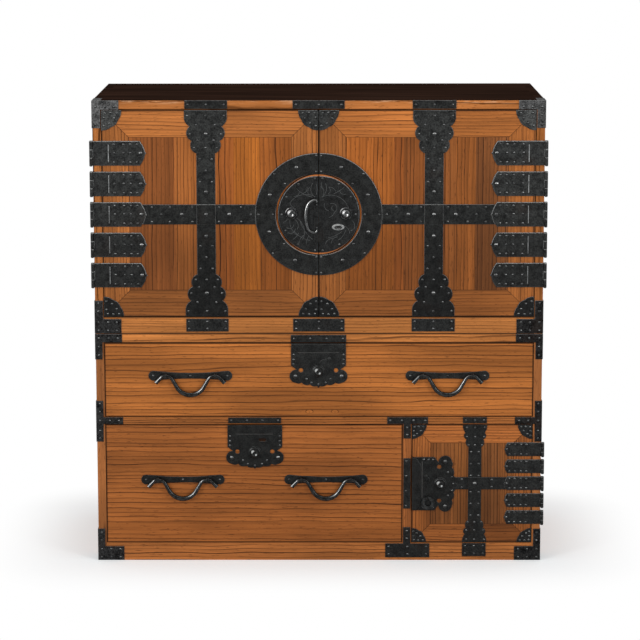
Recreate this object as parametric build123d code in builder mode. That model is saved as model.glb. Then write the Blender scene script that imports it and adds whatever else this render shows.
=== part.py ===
from build123d import *
import os
from math import cos, radians, sin, sqrt, tan

# Isho clothing chest: two stacked wooden cases with forged iron fittings.
# Millimetres. X to the right, Y towards the back, Z up. The origin is the centre of the
# footprint on the floor, and every front lies in the plane y = front.

os.makedirs("parts", exist_ok=True)

# Cases
chest_width = 1080.0
chest_depth = 455.0
tier_height = 565.0  # each of the two cases
side_thick = 20.0
top_thick = 22.0
back_thick = 9.0
rail_depth = 20.0  # front rails, from front to back
bottom_thick = 15.0
upper_rail_height = 41.0
lower_rail_height = 44.0
mid_board_thick = 18.0
mid_board_top = 359.0
divider_x = 204.0  # left face of the upright in the lower case
divider_thick = 21.0
finger_count = 7  # box joint between a top board and its sides
shelf_thick = 14.0
cleat_size = 14.0
upper_shelf_z = 850.0
cupboard_shelf_z = 190.0

# Doors and drawers
front_gap = 1.5  # between a door or drawer front and its opening
front_thick = 20.0
panel_thick = 12.0
door_frame_width = 65.0
small_frame_width = 46.0
drawer_side_thick = 12.0
drawer_bottom_thick = 8.0
drawer_side_gap = 2.0
drawer_back_gap = 8.0
drawer_rise = 0.3  # a drawer's running clearance over the board under it
joint_line = 0.2  # open line of a mitre or a board joint

# Ironwork
iron_thick = 1.6
iron_return = 60.0  # how far the corner irons reach back along the sides and the top
lock_iron_thick = 2.4
strap_left_x = -270.0
strap_right_x = 276.0
strap_width = 45.0
ring_z = 856.0
ring_outer = 147.5
ring_inner = 98.0
disc_radius = 92.5
ring_offset = 5.0  # each half ring's centre lies this far from the seam
cross_strap_height = 48.0
corner_plate_radius = 48.0
small_plate_radius = 35.0
hinge_height = 59.0
hinge_pitch = 73.8
small_hinge_height = 34.0
small_hinge_pitch = 42.5
hinge_count = 5
knuckle_radius = 4.0
pin_radius = 2.0
running_gap = 0.05  # radial clearance of every pin in its hole
leaf_gap = 0.3
small_strap_x = 379.5
small_strap_width = 32.0
small_cross_height = 30.5
small_cross_z = 193.5

# Handles
handle_post_spacing = 121.0
bail_drop = 46.0  # from the eyes' axis down to the middle of the rod
bail_end_radius = 3.9
bail_mid_radius = 6.0
top_handle_x = 311.5
top_handle_z = 461.5
low_handle_x = (-332.0, 17.0)
low_handle_z = 203.0

# Worked out from the above
front = -chest_depth / 2
back = chest_depth / 2
half_width = chest_width / 2
inner_half = half_width - side_thick
chest_height = 2 * tier_height
back_inner = back - back_thick
upper_open_low = tier_height + upper_rail_height
upper_open_high = chest_height - top_thick
top_drawer_high = tier_height - top_thick
mid_board_low = mid_board_top - mid_board_thick
divider_right = divider_x + divider_thick
knuckle_x = half_width + knuckle_radius
knuckle_y = front - knuckle_radius


def face_plane(x=0.0, z=0.0, lift=0.0, x_dir=(1, 0, 0)):
    """A plane on the fronts, lifted outwards, with its origin at x and z."""
    return Plane(origin=(x, front - lift, z), x_dir=x_dir, z_dir=(0, -1, 0))


def board(x_span, y_span, z_span, mode=Mode.ADD):
    """A rectangular board between three pairs of limits."""
    spans = (x_span, y_span, z_span)
    centre = tuple((low + high) / 2 for low, high in spans)
    with Locations(centre):
        Box(*(high - low for low, high in spans), mode=mode)


def keep(piece, name):
    """Label a finished piece and write its STEP file."""
    piece.part.label = name
    export_step(piece.part, f"parts/{name}.step")


def finger_span(index):
    finger = chest_depth / finger_count
    return (front + index * finger, front + (index + 1) * finger)


# ---------------------------------------------------------------- the two cases


def top_board(z_top):
    """A top board whose ends are notched for the fingers of the sides."""
    z_span = (z_top - top_thick, z_top)
    board((-half_width, half_width), (front, back), z_span)
    for index in range(1, finger_count, 2):
        for end in (-1, 1):
            x_span = sorted((end * inner_half, end * half_width))
            board(x_span, finger_span(index), z_span, mode=Mode.SUBTRACT)


def side_boards(z_low, z_top):
    """Left and right side boards, with fingers that rise into the top board."""
    for end in (-1, 1):
        x_span = sorted((end * inner_half, end * half_width))
        board(x_span, (front, back), (z_low, z_top))
        for index in range(0, finger_count, 2):
            board(x_span, finger_span(index), (z_top - top_thick, z_top), mode=Mode.SUBTRACT)


def top_return(side, mode=Mode.ADD):
    """The leg of a top corner iron that is let in flush on the top board."""
    x_span = sorted((side * (half_width - 19.0), side * (half_width + iron_thick)))
    z_span = (chest_height - iron_thick, chest_height)
    board(x_span, (front - iron_thick, front + iron_return), z_span, mode=mode)


with BuildPart() as upper_top_board:
    top_board(chest_height)
    for side in (-1, 1):
        top_return(side, mode=Mode.SUBTRACT)
keep(upper_top_board, "upper_top_board")

with BuildPart() as upper_sides:
    side_boards(tier_height, chest_height)
keep(upper_sides, "upper_sides")

with BuildPart() as upper_front_rail:
    board((-inner_half, inner_half), (front, front + rail_depth), (tier_height, upper_open_low))
keep(upper_front_rail, "upper_front_rail")

with BuildPart() as upper_bottom_board:
    board(
        (-inner_half, inner_half),
        (front + rail_depth, back_inner),
        (upper_open_low - bottom_thick, upper_open_low),
    )
keep(upper_bottom_board, "upper_bottom_board")

with BuildPart() as upper_back_panel:
    board((-inner_half, inner_half), (back_inner, back), (tier_height, upper_open_high))
keep(upper_back_panel, "upper_back_panel")

with BuildPart() as lower_top_board:
    top_board(tier_height)
keep(lower_top_board, "lower_top_board")

with BuildPart() as lower_sides:
    side_boards(0, tier_height)
keep(lower_sides, "lower_sides")

with BuildPart() as lower_front_rail:
    board((-inner_half, inner_half), (front, front + rail_depth), (0, lower_rail_height))
keep(lower_front_rail, "lower_front_rail")

with BuildPart() as lower_bottom_board:
    board(
        (-inner_half, inner_half),
        (front + rail_depth, back_inner),
        (lower_rail_height - bottom_thick, lower_rail_height),
    )
keep(lower_bottom_board, "lower_bottom_board")

bearer_width = 45.0
with BuildPart() as base_bearers:
    for bearer_x in (-inner_half + bearer_width / 2, 0, inner_half - bearer_width / 2):
        board(
            (bearer_x - bearer_width / 2, bearer_x + bearer_width / 2),
            (front + rail_depth, back_inner),
            (0, lower_rail_height - bottom_thick),
        )
keep(base_bearers, "base_bearers")

with BuildPart() as lower_mid_board:
    board((-inner_half, inner_half), (front, back_inner), (mid_board_low, mid_board_top))
keep(lower_mid_board, "lower_mid_board")

with BuildPart() as lower_divider:
    board((divider_x, divider_right), (front, back_inner), (lower_rail_height, mid_board_low))
keep(lower_divider, "lower_divider")

with BuildPart() as lower_back_panel:
    board((-inner_half, inner_half), (back_inner, back), (0, top_drawer_high))
keep(lower_back_panel, "lower_back_panel")

shelf_front = front + 45.0
with BuildPart() as shelves:
    board(
        (-inner_half, inner_half),
        (shelf_front, back_inner),
        (upper_shelf_z - shelf_thick, upper_shelf_z),
    )
    board(
        (divider_right, inner_half),
        (shelf_front, back_inner),
        (cupboard_shelf_z - shelf_thick, cupboard_shelf_z),
    )
keep(shelves, "shelves")


def cleat(wall_x, side, shelf_z):
    """A bearer strip on the wall at wall_x, reaching inwards, under a shelf."""
    x_span = sorted((wall_x, wall_x + side * cleat_size))
    z_top = shelf_z - shelf_thick
    board(x_span, (shelf_front, back_inner), (z_top - cleat_size, z_top))


with BuildPart() as shelf_cleats:
    cleat(-inner_half, 1, upper_shelf_z)
    cleat(inner_half, -1, upper_shelf_z)
    cleat(divider_right, 1, cupboard_shelf_z)
    cleat(inner_half, -1, cupboard_shelf_z)
keep(shelf_cleats, "shelf_cleats")

# ---------------------------------------------------------------- doors

seam_gap = front_gap / 2  # half of the gap where the two large doors meet
door_x = (-inner_half + front_gap, -seam_gap)
door_z = (upper_open_low + front_gap, upper_open_high - front_gap)
small_door_x = (divider_right + front_gap, inner_half - front_gap)
small_door_z = (lower_rail_height + front_gap, mid_board_low - front_gap)
panel_rebate = 7.0  # how far a panel's tongue enters its frame


def door_frame(x_span, z_span, width):
    """Four mitred members, each grooved at the back for the panel."""
    x_low, x_high = x_span
    z_low, z_high = z_span
    outer = ((x_low, z_low), (x_high, z_low), (x_high, z_high), (x_low, z_high))
    inner = (
        (x_low + width, z_low + width),
        (x_high - width, z_low + width),
        (x_high - width, z_high - width),
        (x_low + width, z_high - width),
    )
    for corner in range(4):
        after = (corner + 1) % 4
        with BuildSketch(face_plane()) as member:
            with BuildLine():
                Polyline(outer[corner], outer[after], inner[after], inner[corner], close=True)
            make_face()
        extrude(member.sketch, amount=-front_thick)
    with BuildSketch(face_plane()) as mitres:
        with BuildLine():
            for corner in range(4):
                Line(outer[corner], inner[corner])
        trace(line_width=joint_line)
    extrude(mitres.sketch, amount=-front_thick, mode=Mode.SUBTRACT)
    board(
        (x_low + width - panel_rebate, x_high - width + panel_rebate),
        (front + panel_thick / 2, front + panel_thick),
        (z_low + width - panel_rebate, z_high - width + panel_rebate),
        mode=Mode.SUBTRACT,
    )


def door_panel(x_span, z_span, width, joint_x):
    """Two upright boards, flush with the frame and tongued into its groove all round."""
    tongue = (front + panel_thick / 2, front + panel_thick)
    z_low, z_high = z_span[0] + width, z_span[1] - width
    x_low, x_high = x_span[0] + width, x_span[1] - width
    board((x_low, x_high), (front, tongue[0]), (z_low, z_high))
    board(
        (x_low - panel_rebate, x_high + panel_rebate),
        tongue,
        (z_low - panel_rebate, z_high + panel_rebate),
    )
    board(
        (joint_x - joint_line / 2, joint_x + joint_line / 2),
        (front, tongue[1]),
        (z_low - panel_rebate, z_high + panel_rebate),
        mode=Mode.SUBTRACT,
    )


left_joint_x = -131.0
small_joint_x = 322.0

with BuildPart() as left_door_frame:
    door_frame(door_x, door_z, door_frame_width)
keep(left_door_frame, "left_door_frame")

with BuildPart() as left_door_panel:
    door_panel(door_x, door_z, door_frame_width, left_joint_x)
keep(left_door_panel, "left_door_panel")

with BuildPart() as right_door_frame:
    mirror(left_door_frame.part, about=Plane.YZ)
keep(right_door_frame, "right_door_frame")

right_joint_x = 378.0
with BuildPart() as right_door_panel:
    door_panel((-door_x[1], -door_x[0]), door_z, door_frame_width, right_joint_x)
keep(right_door_panel, "right_door_panel")

with BuildPart() as small_door_frame:
    door_frame(small_door_x, small_door_z, small_frame_width)
keep(small_door_frame, "small_door_frame")

with BuildPart() as small_door_panel:
    door_panel(small_door_x, small_door_z, small_frame_width, small_joint_x)
keep(small_door_panel, "small_door_panel")

# ---------------------------------------------------------------- hinges

# Each hinge is a strap leaf nailed across a door, a short leaf nailed to the side of the
# case, and a pin through their knuckles. The knuckles stand off the case's front corner.

large_leaf_reach = 116.5  # from the pin to where the strap starts to taper
large_tip_reach = 132.0
small_leaf_reach = 85.0
small_tip_reach = 93.5
case_leaf_reach = 62.0
clear_of_knuckle = knuckle_radius + leaf_gap


def hinge_heights(middle, pitch):
    return [middle + (index - (hinge_count - 1) / 2) * pitch for index in range(hinge_count)]


large_hinge_z = hinge_heights(ring_z, hinge_pitch)
small_hinge_z = hinge_heights(small_cross_z, small_hinge_pitch)


def leaf_outline(height, reach, tip):
    """A strap leaf that starts at its pin line and ends in a nibbed ogee point."""
    half = height / 2
    nib = 3.0
    with BuildSketch() as outline:
        with BuildLine():
            Polyline(
                (reach, half),
                (clear_of_knuckle, half),
                (clear_of_knuckle, -half),
                (reach, -half),
            )
            shoulder = (reach + (tip - reach) * 0.58, half * 0.5)
            ThreePointArc((reach, half), shoulder, (tip - nib, nib))
            Polyline((tip - nib, nib), (tip, 0), (tip - nib, -nib))
            ThreePointArc((tip - nib, -nib), (shoulder[0], -shoulder[1]), (reach, -half))
        make_face()
    return outline.sketch


def knuckle(pin_z, low, high):
    """One bored knuckle on the left-hand pin line, between two heights about pin_z."""
    middle = pin_z + (low + high) / 2
    with Locations((-knuckle_x, knuckle_y, middle)):
        Cylinder(knuckle_radius, high - low)


def knuckle_bore(pin_z, height):
    with Locations((-knuckle_x, knuckle_y, pin_z)):
        Cylinder(pin_radius + running_gap, height, mode=Mode.SUBTRACT)


def door_leaf(pin_z, height, reach, tip):
    with BuildSketch(face_plane(-knuckle_x, pin_z)) as leaf:
        add(leaf_outline(height, reach, tip))
    extrude(leaf.sketch, amount=iron_thick)
    third = height / 6 - leaf_gap / 2
    knuckle(pin_z, -third, third)
    board(
        (-knuckle_x, -knuckle_x + clear_of_knuckle),
        (front - iron_thick, front),
        (pin_z - third, pin_z + third),
    )
    knuckle_bore(pin_z, height)


def case_leaf(pin_z, height):
    """The leaf on the side of the case, with its upper and lower knuckles."""
    half = height / 2
    third = height / 6 + leaf_gap / 2
    x_span = (-half_width - iron_thick, -half_width)
    side_plane = Plane(origin=(-half_width, knuckle_y, pin_z), x_dir=(0, -1, 0), z_dir=(-1, 0, 0))
    with BuildSketch(side_plane) as outline:
        with BuildLine():
            Polyline(
                (-case_leaf_reach + 12, half),
                (-clear_of_knuckle, half),
                (-clear_of_knuckle, -half),
                (-case_leaf_reach + 12, -half),
            )
            ThreePointArc(
                (-case_leaf_reach + 12, half),
                (-case_leaf_reach, 0),
                (-case_leaf_reach + 12, -half),
            )
        make_face()
    extrude(outline.sketch, amount=iron_thick)
    for low, high in ((-half, -third), (third, half)):
        knuckle(pin_z, low, high)
        board(
            x_span, (knuckle_y, knuckle_y + clear_of_knuckle), (pin_z + low, pin_z + high)
        )
    knuckle_bore(pin_z, height)


def hinge_pin(pin_z, height):
    """A pin with a flat head on each end of its knuckles."""
    head_radius, head_height = 3.2, 1.5
    with Locations((-knuckle_x, knuckle_y, pin_z)):
        Cylinder(pin_radius, height)
    for end in (-1, 1):
        with Locations((-knuckle_x, knuckle_y, pin_z + end * (height + head_height) / 2)):
            Cylinder(head_radius, head_height)


with BuildPart() as left_door_hinge_straps:
    for pin_z in large_hinge_z:
        door_leaf(pin_z, hinge_height, large_leaf_reach, large_tip_reach)
keep(left_door_hinge_straps, "left_door_hinge_straps")

with BuildPart() as right_door_hinge_straps:
    mirror(left_door_hinge_straps.part, about=Plane.YZ)
keep(right_door_hinge_straps, "right_door_hinge_straps")

with BuildPart() as small_hinge_pattern:
    for pin_z in small_hinge_z:
        door_leaf(pin_z, small_hinge_height, small_leaf_reach, small_tip_reach)

with BuildPart() as small_door_hinge_straps:
    mirror(small_hinge_pattern.part, about=Plane.YZ)
keep(small_door_hinge_straps, "small_door_hinge_straps")

with BuildPart() as left_case_leaves:
    for pin_z in large_hinge_z:
        case_leaf(pin_z, hinge_height)

with BuildPart() as small_case_leaves:
    for pin_z in small_hinge_z:
        case_leaf(pin_z, small_hinge_height)

with BuildPart() as hinge_case_leaves:
    add(left_case_leaves.part)
    mirror(left_case_leaves.part, about=Plane.YZ)
    mirror(small_case_leaves.part, about=Plane.YZ)
keep(hinge_case_leaves, "hinge_case_leaves")

with BuildPart() as left_pins:
    for pin_z in large_hinge_z:
        hinge_pin(pin_z, hinge_height)

with BuildPart() as small_pins:
    for pin_z in small_hinge_z:
        hinge_pin(pin_z, small_hinge_height)

with BuildPart() as hinge_pins:
    add(left_pins.part)
    mirror(left_pins.part, about=Plane.YZ)
    mirror(small_pins.part, about=Plane.YZ)
keep(hinge_pins, "hinge_pins")

# ---------------------------------------------------------------- drawers

drawer_back = back_inner - drawer_back_gap
top_drawer_x = (-inner_half, inner_half)
top_drawer_z = (mid_board_top, top_drawer_high)
low_drawer_x = (-inner_half, divider_x)
low_drawer_z = (lower_rail_height, mid_board_low)
drawer_headroom = 9.0  # from the top of a drawer's sides to the top of its opening


def drawer_front(x_open, z_open):
    board(
        (x_open[0] + front_gap, x_open[1] - front_gap),
        (front, front + front_thick),
        (z_open[0] + front_gap, z_open[1] - front_gap),
    )


def drawer_carcass(x_open, z_open):
    """Two sides and a back, standing on the bottom board."""
    x_low, x_high = x_open[0] + drawer_side_gap, x_open[1] - drawer_side_gap
    z_span = (z_open[0] + drawer_rise + drawer_bottom_thick, z_open[1] - drawer_headroom)
    y_span = (front + front_thick, drawer_back)
    board((x_low, x_low + drawer_side_thick), y_span, z_span)
    board((x_high - drawer_side_thick, x_high), y_span, z_span)
    board(
        (x_low + drawer_side_thick + joint_line, x_high - drawer_side_thick - joint_line),
        (drawer_back - drawer_side_thick, drawer_back),
        z_span,
    )


def drawer_bottom(x_open, z_open):
    z_low = z_open[0] + drawer_rise
    board(
        (x_open[0] + drawer_side_gap, x_open[1] - drawer_side_gap),
        (front + front_thick, drawer_back),
        (z_low, z_low + drawer_bottom_thick),
    )


with BuildPart() as top_drawer_front:
    drawer_front(top_drawer_x, top_drawer_z)
keep(top_drawer_front, "top_drawer_front")

with BuildPart() as top_drawer_carcass:
    drawer_carcass(top_drawer_x, top_drawer_z)
keep(top_drawer_carcass, "top_drawer_carcass")

with BuildPart() as top_drawer_bottom:
    drawer_bottom(top_drawer_x, top_drawer_z)
keep(top_drawer_bottom, "top_drawer_bottom")

with BuildPart() as low_drawer_front:
    drawer_front(low_drawer_x, low_drawer_z)
keep(low_drawer_front, "low_drawer_front")

with BuildPart() as low_drawer_carcass:
    drawer_carcass(low_drawer_x, low_drawer_z)
keep(low_drawer_carcass, "low_drawer_carcass")

with BuildPart() as low_drawer_bottom:
    drawer_bottom(low_drawer_x, low_drawer_z)
keep(low_drawer_bottom, "low_drawer_bottom")

# ---------------------------------------------------------------- bail handles

# A bracken-shoot handle: a forged rod that swells in the middle. It hangs in two eyes, dips
# between them, and its ends sweep outwards and down past the eyes.

eye_radius = 6.6
eye_width = 5.0
handle_axis_lift = lock_iron_thick + eye_radius  # from the front to the eyes' axis


def eye(plane, hole_radius, radius, width, base_lift):
    """An eye lying along a plane's x direction, standing on base_lift above the plane."""
    axis_lift = base_lift + radius
    centre = plane.origin + plane.z_dir * axis_lift
    barrel = Plane(origin=centre, x_dir=plane.y_dir, z_dir=plane.x_dir)
    foot = Plane(origin=plane.origin + plane.z_dir * base_lift, x_dir=plane.x_dir, z_dir=plane.z_dir)
    with Locations(barrel):
        Cylinder(radius, width)
    with Locations(foot):
        Box(width, radius, radius * 0.5, align=(Align.CENTER, Align.CENTER, Align.MIN))
    with Locations(barrel):
        Cylinder(hole_radius + running_gap, width * 3, mode=Mode.SUBTRACT)


def handle_plate(x, z):
    """A long plate, waisted in the middle, with a round lobe at each end and two eyes."""
    lobe_x, lobe_radius, waist = 89.5, 12.0, 6.8
    with BuildSketch(face_plane(x, z)) as outline:
        with BuildLine():
            ThreePointArc((-lobe_x, lobe_radius), (0, waist), (lobe_x, lobe_radius))
            ThreePointArc(
                (lobe_x, lobe_radius), (lobe_x + lobe_radius, 0), (lobe_x, -lobe_radius)
            )
            ThreePointArc((lobe_x, -lobe_radius), (0, -waist), (-lobe_x, -lobe_radius))
            ThreePointArc(
                (-lobe_x, -lobe_radius), (-lobe_x - lobe_radius, 0), (-lobe_x, lobe_radius)
            )
        make_face()
    extrude(outline.sketch, amount=lock_iron_thick)
    for side in (-1, 1):
        eye_plane = face_plane(x + side * handle_post_spacing / 2, z)
        eye(eye_plane, bail_end_radius, eye_radius, eye_width, lock_iron_thick)


def taper_sweep(path, start_radius, end_radius):
    """A round rod along one edge, from one radius to another."""
    sections = []
    for place, radius in ((0, start_radius), (1, end_radius)):
        with BuildSketch(Plane(origin=path @ place, z_dir=path % place)) as section:
            Circle(radius)
        sections.append(section.sketch)
    sweep(sections, path=path, multisection=True)


def drawer_bail(plane):
    """The rod in a plane through its two eyes: each half swings in from its eye, slopes
    down and rounds the bottom, and each tail turns down and thickens to a blunt end."""
    half, straight = handle_post_spacing / 2, eye_width / 2 + 1.5
    hump_radius, bottom_radius, slope, drop = 15.0, 37.0, radians(60.0), bail_drop
    bends = (hump_radius + bottom_radius) * (1 - cos(slope))
    flank = (drop - bends) / sin(slope)
    reach = (hump_radius + bottom_radius) * sin(slope) + flank * cos(slope)
    for side in (-1, 1):
        with BuildLine(plane):
            inner = side * reach
            pin = Line((side * (half + straight), 0), (inner, 0))
            hump = JernArc((inner, 0), (-side, 0), hump_radius, side * 60)
            run = Line(hump @ 1, hump @ 1 + (hump % 1) * flank)
            bottom = JernArc(run @ 1, run % 1, bottom_radius, -side * 60)
            turn = JernArc((side * (half + straight), 0), (side, 0), 7.0, -side * 46)
            tail = Line(turn @ 1, turn @ 1 + (turn % 1) * 20.0)
        rod = (pin, hump, run, bottom)
        radii = (bail_end_radius, bail_end_radius, 4.4, 5.2, bail_mid_radius)
        for length, radius, next_radius in zip(rod, radii, radii[1:]):
            taper_sweep(length, radius, next_radius)
        taper_sweep(turn, bail_end_radius, 4.3)
        taper_sweep(tail, 4.3, 5.3)


with BuildPart() as top_drawer_handle_plates:
    for side in (-1, 1):
        handle_plate(side * top_handle_x, top_handle_z)
keep(top_drawer_handle_plates, "top_drawer_handle_plates")

with BuildPart() as low_drawer_handle_plates:
    for handle_x in low_handle_x:
        handle_plate(handle_x, low_handle_z)
keep(low_drawer_handle_plates, "low_drawer_handle_plates")

bail_places = {
    "top_drawer_left_bail": (-top_handle_x, top_handle_z),
    "top_drawer_right_bail": (top_handle_x, top_handle_z),
    "low_drawer_left_bail": (low_handle_x[0], low_handle_z),
    "low_drawer_right_bail": (low_handle_x[1], low_handle_z),
}
for name, (handle_x, handle_z) in bail_places.items():
    with BuildPart() as bail_handle:
        drawer_bail(face_plane(handle_x, handle_z, handle_axis_lift))
    keep(bail_handle, name)

# ---------------------------------------------------------------- corner plates


def lobed_quarter(plane, x_side, y_side, radius):
    """A quarter plate in a plane's corner, with three shallow lobes along its arc."""
    cusp = radius * 0.965
    lobe_count = 3
    step = 90 / lobe_count
    with BuildSketch(plane) as outline:
        with BuildLine():
            corner = (0, 0)
            start = (x_side * radius, 0)
            Line(corner, start)
            for index in range(lobe_count):
                middle = radians((index + 0.5) * step)
                finish = radians((index + 1) * step)
                reach = radius if index == lobe_count - 1 else cusp
                crest = (x_side * radius * cos(middle), y_side * radius * sin(middle))
                end = (x_side * reach * cos(finish), y_side * reach * sin(finish))
                ThreePointArc(start, crest, end)
                start = end
            Line(start, corner)
        make_face()
    extrude(outline.sketch, amount=iron_thick)


def corner_plates(x_span, z_span, radius):
    """A lobed quarter in each corner of a door."""
    for x, x_side in zip(x_span, (1, -1)):
        for z, z_side in zip(z_span, (1, -1)):
            lobed_quarter(face_plane(x, z), x_side, z_side, radius)

# ---------------------------------------------------------------- door straps


def flared_strap(x, z_middle, half_height, half_width, side_line, lobes):
    """A strap from rail to rail that steps out through scalloped lobes at both ends.

    side_line is the straight flank below the end, and each lobe is a crest and the notch
    after it, all as (half width, distance from the end).
    """
    with BuildSketch(face_plane(x, z_middle)) as outline:
        with BuildLine():
            flank = (side_line[0], half_height - side_line[1])
            Polyline((0, half_height), (side_line[0], half_height), flank)
            start = flank
            for crest, notch in lobes:
                end = (notch[0], half_height - notch[1])
                ThreePointArc(start, (crest[0], half_height - crest[1]), end)
                start = end
            Line(start, (half_width, 0))
            mirror(about=Plane.YZ)
            mirror(about=Plane.XZ)
        make_face()
    extrude(outline.sketch, amount=iron_thick)


large_lobes = (
    ((48.5, 28.0), (38.0, 38.5)),
    ((46.0, 55.0), (33.5, 73.0)),
    ((36.0, 88.0), (strap_width / 2, 103.0)),
)
small_lobes = (
    ((26.5, 15.0), (23.5, 20.0)),
    ((27.0, 27.0), (20.5, 36.0)),
    ((22.5, 45.0), (small_strap_width / 2, 55.0)),
)
door_half_height = (door_z[1] - door_z[0]) / 2
door_middle_z = (door_z[1] + door_z[0]) / 2
small_half_height = (small_door_z[1] - small_door_z[0]) / 2
small_middle_z = (small_door_z[1] + small_door_z[0]) / 2


def cross_plate(x, z, width, height):
    """The square plate that covers a crossing of two straps."""
    board(
        (x - width / 2, x + width / 2),
        (front - 2 * iron_thick, front - iron_thick),
        (z - height / 2, z + height / 2),
    )


def large_door_straps(strap_x):
    """Upright strap, cross strap and corner plates of the left-hand large door."""
    flared_strap(
        strap_x, door_middle_z, door_half_height, strap_width / 2, (51.0, 13.0), large_lobes
    )
    leaf_end = large_leaf_reach - knuckle_x
    with BuildSketch(face_plane(0, ring_z)) as cross_strap:
        with Locations(((leaf_end - ring_outer) / 2, 0)):
            Rectangle(-ring_outer - leaf_end, cross_strap_height)
        with Locations((strap_x, 0)):
            Rectangle(strap_width + 2 * joint_line, hinge_height, mode=Mode.SUBTRACT)
        with Locations((-ring_offset, 0)):
            Circle(ring_outer, mode=Mode.SUBTRACT)
        with Locations((-knuckle_x, 0)):
            add(leaf_outline(hinge_height, large_leaf_reach, large_tip_reach), mode=Mode.SUBTRACT)
    extrude(cross_strap.sketch, amount=iron_thick)
    cross_plate(strap_x, ring_z, strap_width, cross_strap_height)
    corner_plates(door_x, door_z, corner_plate_radius)


with BuildPart() as left_door_straps:
    large_door_straps(strap_left_x)
keep(left_door_straps, "left_door_straps")

with BuildPart() as right_strap_pattern:
    large_door_straps(-strap_right_x)

with BuildPart() as right_door_straps:
    mirror(right_strap_pattern.part, about=Plane.YZ)
keep(right_door_straps, "right_door_straps")

# ---------------------------------------------------------------- round double-door lock


def half_disc(radius):
    """The left half of a round plate, stretched by ring_offset to reach the seam."""
    with BuildSketch() as half:
        with BuildLine():
            ThreePointArc(
                (-ring_offset, radius), (-ring_offset - radius, 0), (-ring_offset, -radius)
            )
            Polyline(
                (-ring_offset, -radius),
                (-seam_gap, -radius),
                (-seam_gap, radius),
                (-ring_offset, radius),
            )
        make_face()
    return half.sketch


boss_radius = 15.5
boss_height = 15.0
dimple_radius = 5.8
dimple_depth = 2.6


def boss(plane):
    """A round knob on a plane: a stepped foot and a dome with a dimple in its crown."""
    dome_base, dome_low = 12.2, 6.0
    rise = boss_height - dome_low
    dome_radius = (dome_base**2 + rise**2) / (2 * rise)

    def dome_height(reach):
        return boss_height - dome_radius + sqrt(dome_radius**2 - reach**2)

    shoulder = dome_base * 0.75
    rim_z = dome_height(dimple_radius)
    bowl_radius = (dimple_radius**2 + dimple_depth**2) / (2 * dimple_depth)
    bowl_x = dimple_radius * 0.6
    bowl_z = rim_z - dimple_depth + bowl_radius - sqrt(bowl_radius**2 - bowl_x**2)
    profile_plane = Plane(origin=plane.origin, x_dir=plane.x_dir, z_dir=-plane.y_dir)
    with BuildSketch(profile_plane) as profile:
        with BuildLine():
            Polyline((0, 0), (boss_radius, 0), (boss_radius, 2.5), (13.6, 4.8), (12.2, 4.8))
            Line((dome_base, 4.8), (dome_base, dome_low))
            ThreePointArc(
                (dome_base, dome_low), (shoulder, dome_height(shoulder)), (dimple_radius, rim_z)
            )
            ThreePointArc((dimple_radius, rim_z), (bowl_x, bowl_z), (0, rim_z - dimple_depth))
            Line((0, rim_z - dimple_depth), (0, 0))
        make_face()
    revolve(profile.sketch, axis=Axis(plane.origin, plane.z_dir))


with BuildPart() as left_lock_ring:
    with BuildSketch(face_plane(0, ring_z)):
        add(half_disc(ring_outer))
        add(half_disc(ring_inner), mode=Mode.SUBTRACT)
    extrude(amount=lock_iron_thick)
keep(left_lock_ring, "left_lock_ring")

with BuildPart() as right_lock_ring:
    mirror(left_lock_ring.part, about=Plane.YZ)
keep(right_lock_ring, "right_lock_ring")

with BuildPart() as left_lock_disc:
    with BuildSketch(face_plane(0, ring_z)):
        add(half_disc(disc_radius))
    extrude(amount=lock_iron_thick)
keep(left_lock_disc, "left_lock_disc")

rosette_x, rosette_z = 46.5, 825.5
with BuildPart() as right_lock_disc:
    mirror(left_lock_disc.part, about=Plane.YZ)
    with BuildSketch(face_plane(rosette_x, rosette_z, lock_iron_thick)):
        with BuildLine():
            ThreePointArc((-14.5, 0), (0, 7.2), (14.5, 0))
            ThreePointArc((14.5, 0), (0, -7.2), (-14.5, 0))
        make_face()
    extrude(amount=4.5, taper=28)
    with BuildSketch(face_plane(rosette_x, rosette_z)):
        SlotOverall(9, 3.6)
    extrude(amount=10, mode=Mode.SUBTRACT)
keep(right_lock_disc, "right_lock_disc")

lock_boss_x, lock_boss_z = 65.5, 858.5
with BuildPart() as left_lock_boss:
    boss(face_plane(-lock_boss_x, lock_boss_z, lock_iron_thick))
keep(left_lock_boss, "left_lock_boss")

with BuildPart() as right_lock_boss:
    mirror(left_lock_boss.part, about=Plane.YZ)
keep(right_lock_boss, "right_lock_boss")

# The band over the seam is in two halves, one on each door. The upright pull hangs in two
# eyes on the left half, and its ends turn into them from outside.
band_x = (-10.8, 12.6)
band_z = (788.0, 892.0)
band_thick = 2.0
band_gap = 0.15  # from the seam to each half of the band
pull_x = -4.0
pull_z = 853.5
pull_half = 30.5  # from its middle to each eye
pull_eye_radius = 3.7
pull_end_radius = 2.1
pull_mid_radius = 4.0
pull_reach = 27.0  # from the eyes' axis to the middle of the rod
pull_base_lift = lock_iron_thick + band_thick
pull_axis_lift = pull_base_lift + pull_eye_radius


def upright_plane(x, z, lift=0.0):
    """A plane on the fronts whose own x direction points up."""
    return face_plane(x, z, lift, x_dir=(0, 0, 1))


def half_band(x_span):
    board(x_span, (front - pull_base_lift, front - lock_iron_thick), band_z)


with BuildPart() as left_lock_band:
    half_band((band_x[0], -band_gap))
    for side in (-1, 1):
        eye(
            upright_plane(pull_x, pull_z + side * pull_half),
            pull_end_radius,
            pull_eye_radius,
            eye_width,
            pull_base_lift,
        )
keep(left_lock_band, "left_lock_band")

with BuildPart() as right_lock_band:
    half_band((band_gap, band_x[1]))
keep(right_lock_band, "right_lock_band")

turn_in = pull_half - eye_width / 2 - 1.5
turn_out = pull_half + eye_width / 2 + 1.0
curl_turn = 100.0
shoulder_turn = 65.0


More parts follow.
